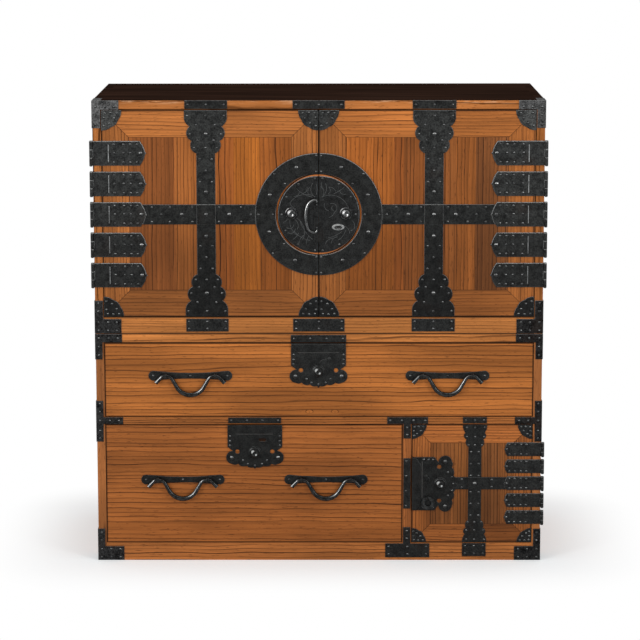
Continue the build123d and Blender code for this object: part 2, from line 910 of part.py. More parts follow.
def shoulder_radius(curl_radius):
    """The radius that leaves the rod parallel to its eyes' axis at the middle."""
    curled = radians(curl_turn)
    turned = radians(curl_turn + shoulder_turn)
    slope = tan((radians(180.0) - turned) / 2)
    rise = pull_reach - curl_radius * (1 - cos(curled))
    run = turn_out + curl_radius * sin(curled)
    return (rise - run * slope) / (cos(curled) - cos(turned) + (sin(turned) - sin(curled)) * slope)


with BuildPart() as lock_pull:
    pull_plane = upright_plane(pull_x, pull_z, pull_axis_lift)
    for side, curl_radius in ((1, 4.5), (-1, 7.0)):
        with BuildLine(pull_plane) as tail:
            Line((side * turn_in, 0), (side * turn_out, 0))
        with BuildLine(pull_plane):
            curl = JernArc((side * turn_out, 0), (side, 0), curl_radius, side * curl_turn)
            shoulder = JernArc(curl @ 1, curl % 1, shoulder_radius(curl_radius), side * shoulder_turn)
            back = TangentArc(shoulder @ 1, (0, pull_reach), tangent=shoulder % 1)
        with BuildSketch(Plane(origin=tail.line @ 0, z_dir=tail.line % 0)) as tail_section:
            Circle(pull_end_radius)
        sweep(tail_section.sketch, path=tail.line)
        radii = (pull_end_radius, 2.6, 3.6, pull_mid_radius)
        for bend, radius, next_radius in zip((curl, shoulder, back), radii, radii[1:]):
            taper_sweep(bend, radius, next_radius)
keep(lock_pull, "lock_pull")

# ---------------------------------------------------------------- plate locks


def lock_outline():
    """A plate that hangs from y = 0, with two large lobes, two small ones and a point."""
    with BuildSketch() as outline:
        with BuildLine():
            Polyline((0, 0), (66.5, 0), (66.5, -55.0), (53.0, -65.0))
            ThreePointArc((53.0, -65.0), (70.0, -80.0), (55.5, -97.5))
            ThreePointArc((55.5, -97.5), (48.0, -99.5), (41.0, -97.0))
            ThreePointArc((41.0, -97.0), (31.0, -103.0), (20.5, -101.5))
            ThreePointArc((20.5, -101.5), (12.0, -106.5), (3.5, -106.0))
            Line((3.5, -106.0), (0, -109.5))
            mirror(about=Plane.YZ)
        make_face()
    return outline.sketch


def lock_plate(plane):
    """A scalloped plate with two round windows, a raised lock case and a knob."""
    with BuildSketch(plane) as plate:
        add(lock_outline())
        with Locations((-42.5, -66.5), (42.5, -66.5)):
            Circle(5.4, mode=Mode.SUBTRACT)
    extrude(plate.sketch, amount=lock_iron_thick)
    with BuildSketch(plane.offset(lock_iron_thick)) as lock_case:
        with BuildLine():
            Polyline((0, 0), (66.5, 0), (66.5, -9.0), (49.0, -21.5), (0, -21.5))
            mirror(about=Plane.YZ)
        make_face()
    extrude(lock_case.sketch, amount=4.0, taper=12)
    knob = plane.from_local_coords((0, -69.0, lock_iron_thick))
    boss(Plane(origin=knob, x_dir=plane.x_dir, z_dir=plane.z_dir))


def key_slot(plane, x, y, length=19.0, height=7.5):
    with BuildSketch(plane) as slot:
        with Locations((x, y)):
            SlotOverall(length, height)
    extrude(slot.sketch, amount=lock_iron_thick, mode=Mode.SUBTRACT)


cover_thick = 1.6
cover_clear = 0.1
rivet_radius = 1.5


def cover_rivet(plane):
    """The rivet on which a key cover swings; the plane lies on the lock plate."""
    with Locations(plane):
        Cylinder(
            rivet_radius,
            cover_thick + 2 * cover_clear,
            align=(Align.CENTER, Align.CENTER, Align.MIN),
        )
    with Locations(plane.offset(cover_thick + 2 * cover_clear)):
        Cylinder(3.0, 1.2, align=(Align.CENTER, Align.CENTER, Align.MIN))


def key_cover(plane, tip, outer, inner):
    """A pointed leaf between two arcs that swings on its rivet over a key slot."""
    with BuildSketch(plane.offset(cover_clear)) as outline:
        with BuildLine():
            ThreePointArc((-2.5, 1.0), outer, tip)
            ThreePointArc(tip, inner, (-2.5, 1.0))
        make_face()
        Circle(4.2)
        Circle(rivet_radius + running_gap, mode=Mode.SUBTRACT)
    extrude(outline.sketch, amount=cover_thick)


top_lock_plane = face_plane(-1.0, top_drawer_high - front_gap)
low_lock_plane = face_plane(-156.0, mid_board_low - front_gap)
small_lock_plane = upright_plane(small_door_x[0], 192.5)
top_cover_plane = face_plane(25.0, 503.5, lock_iron_thick)
small_cover_plane = face_plane(261.0, 211.0, lock_iron_thick)

with BuildPart() as top_drawer_lock_plate:
    lock_plate(top_lock_plane)
    key_slot(top_lock_plane, 9.5, -46.0, 12.0, 5.0)
    cover_rivet(top_cover_plane)
keep(top_drawer_lock_plate, "top_drawer_lock_plate")

with BuildPart() as low_drawer_lock_plate:
    lock_plate(low_lock_plane)
    key_slot(low_lock_plane, 18.5, -37.0)
keep(low_drawer_lock_plate, "low_drawer_lock_plate")

with BuildPart() as top_drawer_key_cover:
    key_cover(top_cover_plane, (-28.5, -13.0), (-12.5, -13.0), (-17.0, -2.5))
keep(top_drawer_key_cover, "top_drawer_key_cover")

# The small door's pull: a flat ring whose neck turns in an eye.
ring_pull_x, ring_pull_z = 265.8, 157.6  # the neck's middle
ring_pull_outer, ring_pull_hole = 16.3, 8.0
ring_pull_thick = 2.6
ring_neck_radius = 1.3
ring_eye_radius = 4.2
ring_eye_width = 5.0
ring_pull_lift = lock_iron_thick + ring_eye_radius

with BuildPart() as small_door_lock_plate:
    lock_plate(small_lock_plane)
    key_slot(small_lock_plane, 7.0, -39.5, 10.0, 4.0)
    cover_rivet(small_cover_plane)
    ring_plane = face_plane(ring_pull_x, ring_pull_z)
    eye(ring_plane, ring_neck_radius, ring_eye_radius, ring_eye_width, lock_iron_thick)
keep(small_door_lock_plate, "small_door_lock_plate")

with BuildPart() as small_door_key_cover:
    key_cover(small_cover_plane, (8.0, -20.0), (9.5, -8.5), (1.0, -10.5))
keep(small_door_key_cover, "small_door_key_cover")

with BuildPart() as small_door_ring_pull:
    neck_reach = (ring_pull_outer + ring_pull_hole) / 2
    neck_plane = face_plane(ring_pull_x, ring_pull_z, ring_pull_lift)
    with BuildSketch(neck_plane.offset(-ring_pull_thick / 2)):
        with Locations((0, -neck_reach)):
            Circle(ring_pull_outer)
            Circle(ring_pull_hole, mode=Mode.SUBTRACT)
        Rectangle(ring_eye_width + 1.2, 2 * ring_eye_radius + 1.6, mode=Mode.SUBTRACT)
    extrude(amount=ring_pull_thick)
    with Locations(Plane(origin=neck_plane.origin, x_dir=(0, 0, 1), z_dir=(1, 0, 0))):
        Cylinder(ring_neck_radius, ring_eye_width + 3)
keep(small_door_ring_pull, "small_door_ring_pull")

# The small door's straps. The cross strap ends at the lock plate and at the middle hinge.
with BuildPart() as small_door_straps:
    small_leaf_end = knuckle_x - small_leaf_reach
    lock_reach = small_door_x[0] + 100.0
    with BuildSketch(face_plane(0, small_cross_z)):
        with Locations(((lock_reach + small_leaf_end) / 2, 0)):
            Rectangle(small_leaf_end - lock_reach, small_cross_height)
        with Locations((small_strap_x, 0)):
            Rectangle(small_strap_width + 2 * joint_line, small_hinge_height, mode=Mode.SUBTRACT)
        with Locations(Location((knuckle_x, 0), 180)):
            add(
                leaf_outline(small_hinge_height, small_leaf_reach, small_tip_reach),
                mode=Mode.SUBTRACT,
            )
    extrude(amount=iron_thick)
    with BuildSketch(small_lock_plane):
        add(lock_outline())
    extrude(amount=iron_thick, mode=Mode.SUBTRACT)
    flared_strap(
        small_strap_x,
        small_middle_z,
        small_half_height,
        small_strap_width / 2,
        (29.5, 5.0),
        small_lobes,
    )
    cross_plate(small_strap_x, small_cross_z, small_strap_width, small_cross_height)
    corner_plates(small_door_x, small_door_z, small_plate_radius)
keep(small_door_straps, "small_door_straps")

# ---------------------------------------------------------------- irons of the cases


def front_plate(x_span, z_span):
    board(x_span, (front - iron_thick, front), z_span)


def corner_iron(stem_z, stem_width, arm_z, arm_end):
    """An iron at the left edge: a stem, an arm over the rail and a return on the side."""
    edge = -half_width - iron_thick
    front_plate((edge, stem_width - half_width), stem_z)
    front_plate((edge, arm_end), arm_z)
    board((edge, -half_width), (front - iron_thick, front + iron_return), stem_z)


with BuildPart() as left_corner_irons:
    corner_iron((1064.0, chest_height), 19.0, (1108.5, chest_height), -477.0)
    top_return(-1)
    corner_iron((566.0, 646.0), 19.0, (566.0, 601.0), -477.0)
    corner_iron((502.0, 564.0), 16.0, (544.0, 564.0), -476.0)
    corner_iron((298.0, 399.0), 16.0, (341.5, 358.5), -476.0)
    corner_iron((0.5, 79.0), 16.0, (0.5, 35.0), -477.5)

with BuildPart() as corner_irons:
    add(left_corner_irons.part)
    mirror(left_corner_irons.part, about=Plane.YZ)
keep(corner_irons, "corner_irons")

with BuildPart() as rail_plates:
    for x_span in ((-320.0, -218.0), (-62.0, 62.0), (224.0, 328.0)):
        front_plate(x_span, (1110.0, chest_height))
        front_plate(x_span, (570.5, 602.0))
    front_plate((-68.0, 66.0), (544.0, 562.0))
    front_plate((-220.5, -92.0), (343.5, 357.5))
    front_plate((350.0, 408.0), (343.5, 358.5))
    front_plate((350.0, 408.0), (10.0, 43.0))
    front_plate((205.5, 219.5), (130.0, 256.0))
    front_plate((166.0, 265.0), (342.0, 358.5))
    front_plate((205.5, 223.5), (305.5, 342.0))
    front_plate((162.0, 270.0), (7.0, 42.0))
    front_plate((205.5, 223.5), (42.0, 83.0))
keep(rail_plates, "rail_plates")
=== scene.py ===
import math

import bmesh
import bpy
from mathutils import Matrix, Vector


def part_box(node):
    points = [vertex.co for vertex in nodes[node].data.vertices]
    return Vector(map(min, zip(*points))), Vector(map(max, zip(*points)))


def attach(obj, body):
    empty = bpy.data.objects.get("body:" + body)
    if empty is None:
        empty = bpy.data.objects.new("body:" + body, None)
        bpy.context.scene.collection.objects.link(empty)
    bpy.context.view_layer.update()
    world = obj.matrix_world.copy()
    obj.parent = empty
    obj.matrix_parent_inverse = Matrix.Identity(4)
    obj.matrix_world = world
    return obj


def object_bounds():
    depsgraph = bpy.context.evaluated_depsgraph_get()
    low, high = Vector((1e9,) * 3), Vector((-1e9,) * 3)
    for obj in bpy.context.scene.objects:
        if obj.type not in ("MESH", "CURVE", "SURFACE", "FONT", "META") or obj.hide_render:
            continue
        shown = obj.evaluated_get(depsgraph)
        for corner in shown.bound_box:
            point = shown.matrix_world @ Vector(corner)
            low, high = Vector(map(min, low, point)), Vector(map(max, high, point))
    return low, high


# Isho clothing chest: woods, ironwork, nails, engraving, floor, lights and camera.
# Places and sizes are written in millimetres and turned to metres by mm.

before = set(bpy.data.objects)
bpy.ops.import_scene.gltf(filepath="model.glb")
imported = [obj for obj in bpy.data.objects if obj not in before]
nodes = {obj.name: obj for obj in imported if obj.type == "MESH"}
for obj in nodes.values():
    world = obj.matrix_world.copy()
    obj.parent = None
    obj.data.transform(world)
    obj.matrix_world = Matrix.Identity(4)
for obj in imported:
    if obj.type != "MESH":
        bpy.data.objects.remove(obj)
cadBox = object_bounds()
mm = 0.001
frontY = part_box("top_drawer_front")[0].y / mm  # every front lies in this plane
halfDepth = 0.2275  # of the case, in metres
lockZ = 856.0  # middle of the round lock and of the large hinges
keyhole = (46.5, 825.5)  # of the round lock
drawerLockX = {"top": -1.0, "low": -156.0}
smallLockZ = 192.5
print("frame loaded:", len(nodes), "nodes")


# Node wiring

class Wire:  # a socket that can stand in a sum
    def __init__(self, finish, socket):
        self.finish, self.socket = finish, socket

    def join(self, operation, first, second):
        return self.finish.node("ShaderNodeMath", {"operation": operation}, {0: first, 1: second})

    def __add__(self, other):
        return self.join("ADD", self, other)

    def __radd__(self, other):
        return self.join("ADD", other, self)

    def __sub__(self, other):
        return self.join("SUBTRACT", self, other)

    def __rsub__(self, other):
        return self.join("SUBTRACT", other, self)

    def __mul__(self, other):
        return self.join("MULTIPLY", self, other)

    def __rmul__(self, other):
        return self.join("MULTIPLY", other, self)

    def __truediv__(self, other):
        return self.join("DIVIDE", self, other)

    def __lt__(self, other):
        return self.join("LESS_THAN", self, other)

    def __gt__(self, other):
        return self.join("GREATER_THAN", self, other)

    def __pow__(self, other):
        return self.join("POWER", self, other)

    def lower(self, other):
        return self.join("MINIMUM", self, other)

    def higher(self, other):
        return self.join("MAXIMUM", self, other)

    def wrap(self):  # what is left after the whole turns
        return self.join("FRACT", self, 0.0)

    def whole(self):
        return self.join("FLOOR", self, 0.0)

    def size(self):
        return self.join("ABSOLUTE", self, 0.0)

    def rise(self, low, high):  # 0 below low, 1 above high, smooth between
        settings = {"interpolation_type": "SMOOTHSTEP", "clamp": True}
        sockets = {"Value": self, "From Min": low, "From Max": high}
        return self.finish.node("ShaderNodeMapRange", settings, sockets)

    def spread(self, low, high):  # 0..1 to low..high
        return self.finish.node("ShaderNodeMapRange", {}, {"Value": self, "To Min": low, "To Max": high})


class Finish:  # one material, or the world, and its nodes
    def __init__(self, holder):
        self.holder = holder
        holder.use_nodes = True
        self.tree = holder.node_tree
        self.tree.nodes.clear()

    def node(self, kind, settings=None, sockets=None, out=0):
        made = self.tree.nodes.new(kind)
        for key, value in (settings or {}).items():
            if key == "steps":
                self.setSteps(made.color_ramp, value)
            else:
                setattr(made, key, value)
        for key, value in (sockets or {}).items():
            if isinstance(value, Wire):
                self.tree.links.new(value.socket, made.inputs[key])
            else:
                made.inputs[key].default_value = value
        return Wire(self, made.outputs[out])

    def setSteps(self, ramp, steps):  # a ramp that changes at once at each stop
        ramp.interpolation = "CONSTANT"
        while len(ramp.elements) > 1:
            ramp.elements.remove(ramp.elements[-1])
        for index, (place, colour) in enumerate(steps):
            element = ramp.elements[0] if index == 0 else ramp.elements.new(place)
            element.position = place
            element.color = colour

    def place(self):  # the surface point in metres, as three numbers
        point = self.node("ShaderNodeTexCoord", out=3)
        split = self.node("ShaderNodeSeparateXYZ", {}, {0: point})
        return [Wire(self, output) for output in split.socket.node.outputs]

    def vector(self, x, y, z):
        return self.node("ShaderNodeCombineXYZ", {}, {0: x, 1: y, 2: z})

    def noise(self, vector, scale, detail, rough=0.5):
        sockets = {"Vector": vector, "Scale": scale, "Detail": detail, "Roughness": rough}
        return self.node("ShaderNodeTexNoise", {}, sockets)

    def chance(self, number):  # one random number for each whole number
        return self.node("ShaderNodeTexWhiteNoise", {"noise_dimensions": "1D"}, {"W": number})

    def blend(self, amount, first, second):  # from the first colour to the second
        settings = {"data_type": "RGBA", "blend_type": "MIX", "clamp_factor": True}
        return self.node("ShaderNodeMix", settings, {0: amount, 6: first, 7: second}, out=2)

    def dim(self, colour, level):  # a colour times a number
        if not isinstance(colour, Wire):
            colour = colour[:3]
        return self.node("ShaderNodeVectorMath", {"operation": "SCALE"}, {0: colour, "Scale": level})

    def bump(self, height, depth, over=None):  # depth is a distance in metres and a strength
        sockets = {"Height": height, "Distance": depth[0], "Strength": depth[1]}
        if over:
            sockets["Normal"] = over
        return self.node("ShaderNodeBump", {}, sockets)

    def rounded(self, radius):  # the surface direction with its edges softened
        return self.node("ShaderNodeBevel", {"samples": 6}, {"Radius": radius})

    def agree(self, first, second):  # 1 where two directions are the same, 0 where they are square
        return self.node("ShaderNodeVectorMath", {"operation": "DOT_PRODUCT"}, {0: first, 1: second}, out=1)

    def edge(self, soft):  # how far a softened surface turns: 0 on flats
        return 1.0 - self.agree(soft, self.node("ShaderNodeNewGeometry", out=1))

    def facing(self, x, y, z):  # how squarely the piece's own surface looks one way
        return self.agree(self.node("ShaderNodeTexCoord", out=1), (x, y, z))

    def close(self, shader, kind="ShaderNodeOutputMaterial"):
        output = self.tree.nodes.new(kind)
        self.tree.links.new(shader.socket, output.inputs["Surface"])
        return self.holder

    def shade(self, sockets):
        return self.close(self.node("ShaderNodeBsdfPrincipled", {}, sockets))


def newFinish(name):
    return Finish(bpy.data.materials.new(name))


def paint(red, green, blue):  # display colour, 0 to 255, as a linear colour
    def linear(value):  # the sRGB curve
        part = value / 255
        return part / 12.92 if part <= 0.04045 else ((part + 0.055) / 1.055) ** 2.4
    return (linear(red), linear(green), linear(blue), 1.0)


def within(value, low, high):  # how far inside a span, below 0 outside it
    return (value - low).lower(high - value)


def farFrom(first, second, spot, squash=1.0):  # distance from a spot in millimetres, eased along the second way
    out, along = first - spot[0] * mm, second - spot[1] * mm
    return (out * out + along * along * squash) ** 0.5


# Woods

wood = {
    "lateLine": paint(52, 24, 10),  # the dark edge of each growth ring
    "fleck": paint(58, 28, 13),
    "groove": paint(20, 10, 6),  # grime and painted shade where boards meet, in gaps and in holes
    "lacquer": (paint(34, 23, 18), paint(58, 40, 32)),  # on the upper face, in its darker and paler parts
    "scuffAndHighlight": paint(226, 176, 136),  # bare wood and a painted highlight along the rim of the lacquer
    "wander": 3.0,  # how far a ring drifts along its board, in rings
    "ripple": 0.9,  # and how far over a short way
    "bunch": 2.6,  # how unevenly the rings are spaced
    "lineStart": (0.77, 0.87),  # where in a ring its dark line sets in
    "lineEnd": (0.94, 1.0),
    "knotBend": 1.3,  # how many rings a knot pushes aside
    "boardShift": 0.53,  # how far the grain jumps from board to board, in metres
    "memberShift": 0.37,  # and round a mitred frame
    "lineDepth": 0.9,  # how fully each mark covers the wood
    "fleckDepth": 0.6,
    "knotDepth": 0.75,
    "seamDepth": 0.8,
    "grooveDepth": 0.9,
    "slotShadeDepth": 0.95,
    "paleDepth": 0.9,
    "scuffHighlightDepth": 0.75,
    "endGrain": 0.22,  # how much darker the ends of a lying board are
    "endPlace": 0.5385,  # where they start, in metres from the middle
    "gloss": (0.44, 0.62),  # roughness between the fibres
    "lacquerDull": 0.4,
    "specular": 0.14,
    "bump": (0.0004, 0.35),  # a depth in metres and a strength
    "grooveWidth": 3.6,
    "mitreWidth": 1.4,
    "seamWidth": 1.8,
    "scuffHighlightHeight": 12.0,
}


# In the grain's noises the numbers are how often they repeat along the board, across it and into it.

def ringLines(finish, along, across, depth, spacing, seed, knots):  # a slow darkening, then a thin dark line
    drift = finish.noise(finish.vector(along * 0.8, across * 3.0 + seed, depth * 3.0), 1.0, 1.0)
    ripple = finish.noise(finish.vector(along * 7.0, across * 26.0 + seed, depth * 26.0), 1.0, 1.0)
    bunch = finish.noise(finish.vector(across * 27.0 + seed, along * 0.5, depth * 27.0), 1.0, 1.0)
    turns = (across + depth * 0.4) / (spacing * mm) + drift * wood["wander"] + ripple * wood["ripple"] + seed
    turns = turns + bunch * wood["bunch"]
    for knotAlong, knotAcross, radius in knots:  # rings bend round a knot
        reach = farFrom(across, along, (knotAcross, knotAlong), 0.2)
        turns = turns + (1.0 - reach.rise(0.0, 5.0 * radius * mm)) * wood["knotBend"]
    part = turns.wrap()
    ring = turns.whole()
    line = part.rise(*wood["lineStart"]) * (1.0 - part.rise(*wood["lineEnd"]))
    broken = finish.noise(finish.vector(along * 9.0, across * 90.0 + seed, depth * 90.0), 1.0, 2.0)
    weight = (finish.chance(ring + seed) ** 1.3).spread(0.2, 1.0) * broken.rise(0.28, 0.55).spread(0.45, 1.0)
    return line * weight, part.rise(0.1, 0.95), finish.chance(ring + seed + 40.0)


def mitredFrame(x, z, mitre):  # rails run across and stiles run up, each with its own piece of wood
    lowX, highX, lowZ, highZ = [value * mm for value in mitre["outer"]]
    fromSide, fromEnd = within(x, lowX, highX), within(z, lowZ, highZ)
    rail = fromEnd < fromSide
    upper = z > (lowZ + highZ) / 2
    member = rail * 3.0 + (x > (lowX + highX) / 2) * 5.0 + upper * (rail * 7.0)
    along = rail * x + (1.0 - rail) * z
    across = rail * z + (1.0 - rail) * x + member * wood["memberShift"]
    topRail = rail * upper
    tilt = topRail.spread(1.0, mitre["top"]) * (rail - topRail).spread(1.0, mitre["bottom"])
    mitreLine = 1.0 - (fromEnd - fromSide).size().rise(0.2 * mm, wood["mitreWidth"] * mm)
    panelSeam = 1.0 - (mitre["width"] * mm - fromEnd.lower(fromSide)).rise(0.3 * mm, wood["seamWidth"] * mm)
    return along, across, tilt, mitreLine.higher(panelSeam)


def oldLacquer(finish, colour, x, y, z, top, onFace, seed):  # dark on the upper face; below it a scuffed rim of bare wood with a painted highlight
    lacquer = z > (top - 0.3) * mm
    worn = finish.noise(finish.vector(x * 3.0, y * 60.0, z * 0.0 + seed), 1.0, 3.0, 0.6)
    colour = finish.blend(lacquer, colour, finish.blend(worn.rise(0.35, 0.75), *wood["lacquer"]))
    scuffAndHighlight = finish.noise(finish.vector(x * 26.0, y * 90.0, z * 230.0), 1.0, 3.0, 0.6).rise(0.46, 0.7)
    rim = z.rise((top - wood["scuffHighlightHeight"]) * mm, (top - 1.0) * mm) * (1.0 - lacquer) * onFace
    return finish.blend(rim * scuffAndHighlight * wood["scuffHighlightDepth"], colour, wood["scuffAndHighlight"]), lacquer


boardRuns = {"x": "xzy", "z": "zxy", "top": "xyz", "side": "zyx"}  # along the board, across it, into it


def woodFinish(name, tone, run, spacing, seed, face=None, mitre=None, boards=None,
               light=1.2, dark=0.78, fade=None, top=None, knots=(), slots=(), pale=None, strength=1.0):
    finish = newFinish(name)
    x, y, z = finish.place()
    along, across, depth = [{"x": x, "y": y, "z": z}[axis] for axis in boardRuns[run]]
    if mitre:
        along, across, tilt, seams = mitredFrame(x, z, mitre)
    if boards:  # edge-jointed boards, each with its own tone
        plank = x * 0.0
        for joint, _ in boards[1:]:
            plank = plank + (x > joint * mm)
        across = across + plank * wood["boardShift"]
    line, warm, ringTone = ringLines(finish, along, across, depth, spacing, seed, knots)
    fibre = finish.noise(finish.vector(along * 14.0, across * 560.0, depth * 560.0 + seed), 1.0, 3.0, 0.7)
    streak = finish.noise(finish.vector(along * 2.2, across * 130.0, depth * 130.0 + seed), 1.0, 2.0, 0.6)
    cloud = finish.noise(finish.vector(along * 2.4, across * 9.0, depth * 9.0 + seed), 1.0, 3.0, 0.55)
    fleck = finish.noise(finish.vector(along * 60.0, across * 520.0, depth * 520.0 + seed), 1.0, 1.0)
    colour = paint(*tone)
    if boards:  # the ramp runs from a metre left of the middle to a metre right of it
        stops = [(0.5 + joint / 2000.0, paint(*own)) for joint, own in boards]
        steps = [(0.0, stops[0][1])] + stops[1:]
        colour = finish.node("ShaderNodeValToRGB", {"steps": steps}, {0: x * 0.5 + 0.5})
    level = ringTone.spread(0.9, 1.1) * streak.spread(0.68, 1.32) * fibre.spread(0.6, 1.4)
    level = level * cloud.rise(0.32, 0.68).spread(dark, light) * warm.spread(1.07, 0.93)
    onFace = y < (frontY + 3.0) * mm
    if mitre:
        level = level * tilt
    if run == "top":
        level = level * (1.0 - (x.size() > wood["endPlace"]) * wood["endGrain"])
    if fade:  # darker towards one end of its height
        low, high, least = fade
        level = level * z.rise(low * mm, high * mm).spread(least, 1.0)
    colour = finish.dim(colour, level)
    colour = finish.blend(line * (wood["lineDepth"] * strength), colour, wood["lateLine"])
    colour = finish.blend(fleck.rise(0.64, 0.74) * wood["fleckDepth"], colour, wood["fleck"])
    for knotAlong, knotAcross, radius in knots:
        reach = farFrom(across, along, (knotAcross, knotAlong), 0.4)
        heart = 1.0 - reach.rise(0.3 * radius * mm, radius * mm)
        colour = finish.blend(heart * wood["knotDepth"], colour, wood["fleck"])
    if mitre:  # the mitres, and the seam round the panel
        colour = finish.blend(seams * onFace * wood["seamDepth"], colour, wood["groove"])
    if face:  # painted shade along the edges of a front, where the gap round it is
        lowX, highX, lowZ, highZ = [value * mm for value in face]
        near = within(x, lowX, highX).lower(within(z, lowZ, highZ))
        groove = 1.0 - near.rise(0.0, wood["grooveWidth"] * mm)
        colour = finish.blend(groove * onFace * wood["grooveDepth"], colour, wood["groove"])
    if pale:  # wood that the lock has kept from the light, and painted shade in the gap round the disc
        out, reach = farFrom(x, z, pale["spot"]), pale["radius"]
        shown = (1.0 - out.rise((reach - 0.6) * mm, (reach + 0.6) * mm)) * onFace
        fresh = finish.dim(paint(*pale["tone"]), fibre.spread(0.8, 1.2))
        colour = finish.blend(shown * wood["paleDepth"], colour, fresh)
        colour = finish.blend((out < (reach + pale["gap"]) * mm) * (onFace - shown), colour, wood["groove"])
    for slotX, slotZ, halfX, halfZ in slots:  # painted shade of a keyhole behind its plate
        inside = ((x - slotX * mm).size() < halfX * mm) * ((z - slotZ * mm).size() < halfZ * mm)
        colour = finish.blend(inside * onFace * wood["slotShadeDepth"], colour, wood["groove"])
    shine = fibre.spread(*wood["gloss"])
    specular = wood["specular"]
    if top:
        colour, lacquer = oldLacquer(finish, colour, x, y, z, top, onFace, seed)
        shine = shine + lacquer * wood["lacquerDull"]
        specular = 0.0
    height = line * -0.8 + fibre * 0.4
    return finish.shade({
        "Base Color": colour,
        "Roughness": shine,
        "Normal": finish.bump(height, wood["bump"]),
        "Specular IOR Level": specular,
    })


def limitsOf(name):  # x and z limits of a node, in millimetres
    low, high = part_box(name)
    return (low.x / mm, high.x / mm, low.z / mm, high.z / mm)


leftDoor = limitsOf("left_door_frame")
rightDoor = limitsOf("right_door_frame")
smallDoor = limitsOf("small_door_frame")
topDrawer = limitsOf("top_drawer_front")
lowDrawer = limitsOf("low_drawer_front")
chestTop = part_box("upper_top_board")[1].z / mm
topEdge = (-900.0, 900.0, 1108.0, 1300.0)  # wider than the top board, so that only its lower edge has a seam
keptPale = {"spot": (0.0, lockZ), "radius": 96.4, "gap": 2.6, "tone": (208, 124, 66)}

leftBoards = (  # where each board of a panel starts, and its tone
    (-470.0, (156, 90, 43)), (-350.0, (170, 100, 47)), (-243.0, (166, 93, 40)), (-205.0, (194, 112, 42)),
    (-148.0, (166, 94, 39)),
)
rightBoards = (
    (50.0, (166, 94, 38)), (176.0, (150, 83, 35)), (203.0, (140, 80, 36)), (304.0, (152, 89, 42)),
    (328.0, (162, 94, 42)), (373.0, (134, 80, 41)),
)
smallBoards = ((250.0, (146, 88, 44)), (322.0, (152, 92, 45)), (398.0, (138, 84, 43)), (432.0, (146, 88, 44)))


def frameOf(door, width, top, bottom):  # top and bottom are how light the two rails are
    return {"outer": door, "width": width, "top": top, "bottom": bottom}


finishes = {
    "upper_top_board": woodFinish(
        "TopBoardWood", (181, 112, 60), "top", 8.0, 3.1, top=chestTop, face=topEdge
    ),
    "lower_top_board": woodFinish(
        "LowerTopWood", (193, 120, 60), "top", 8.0, 5.2, face=limitsOf("lower_top_board")
    ),
    "upper_front_rail": woodFinish(
        "UpperRailWood", (190, 119, 60), "x", 8.0, 7.3, face=limitsOf("upper_front_rail")
    ),
    "lower_front_rail": woodFinish("BaseRailWood", (176, 107, 54), "x", 9.0, 9.7, strength=1.4),
    "lower_mid_board": woodFinish("MidRailWood", (160, 96, 46), "x", 6.0, 11.9, strength=1.4),
    "upper_sides": woodFinish("UpperSideWood", (166, 102, 54), "side", 10.0, 13.3, top=chestTop),
    "lower_sides": woodFinish("LowerSideWood", (164, 101, 54), "side", 10.0, 15.1),
    "lower_divider": woodFinish("DividerWood", (150, 88, 44), "z", 6.0, 17.4),
    "top_drawer_front": woodFinish(
        "TopDrawerWood", (174, 104, 48), "x", 11.0, 19.2, face=topDrawer,
        knots=((-23.0, 371.0, 1.4), (39.0, 371.0, 1.4)), slots=((8.5, 495.5, 7.0, 3.5),), strength=1.15,
    ),
    "low_drawer_front": woodFinish(
        "LowDrawerWood", (157, 92, 43), "x", 12.0, 23.8, face=lowDrawer, slots=((-137.5, 305.0, 12.0, 6.0),),
        strength=1.3,
    ),
    "left_door_frame": woodFinish(
        "LeftFrameWood", (172, 104, 51), "x", 9.0, 29.5, face=leftDoor,
        mitre=frameOf(leftDoor, 65.0, 1.1, 0.76), pale=keptPale,
    ),
    "right_door_frame": woodFinish(
        "RightFrameWood", (166, 99, 47), "x", 9.0, 31.5, face=rightDoor,
        mitre=frameOf(rightDoor, 65.0, 1.38, 0.78), slots=((*keyhole, 6.0, 3.0),), pale=keptPale,
    ),
    "small_door_frame": woodFinish(
        "SmallFrameWood", (156, 91, 43), "x", 7.0, 37.7, face=smallDoor,
        mitre=frameOf(smallDoor, 46.0, 1.1, 0.76), light=1.3, dark=0.62,
        slots=((266.0, 199.5, 3.2, 6.0),), strength=1.8,
    ),
    "left_door_panel": woodFinish(
        "LeftPanelWood", (158, 92, 43), "z", 10.0, 41.3, boards=leftBoards, fade=(700.0, 980.0, 0.66),
        pale=keptPale, strength=1.35,
    ),
    "right_door_panel": woodFinish(
        "RightPanelWood", (148, 86, 41), "z", 10.0, 43.9, boards=rightBoards, fade=(700.0, 980.0, 0.72),
        pale=keptPale, strength=1.35,
    ),
    "small_door_panel": woodFinish(
        "SmallPanelWood", (142, 86, 44), "z", 7.5, 47.1, boards=smallBoards, fade=(120.0, 250.0, 0.75),
        light=1.2, dark=0.7, strength=1.8,
    ),
}


def give(finish, *names):  # one finish for several nodes
    finishes.update(dict.fromkeys(names, finish))


innerAcross = woodFinish("InnerWoodAcross", (186, 134, 84), "top", 10.0, 53.3, strength=0.6)
innerUpright = woodFinish("InnerWoodUpright", (182, 126, 76), "z", 10.0, 59.9, strength=0.6)
innerLong = woodFinish("InnerWoodLong", (184, 131, 82), "side", 10.0, 61.7, strength=0.6)
give(innerAcross, "upper_bottom_board", "lower_bottom_board", "shelves",
     "top_drawer_bottom", "low_drawer_bottom")
give(innerUpright, "upper_back_panel", "lower_back_panel")
give(innerLong, "top_drawer_carcass", "low_drawer_carcass", "base_bearers", "shelf_cleats")
print("woods ready")

# Ironwork

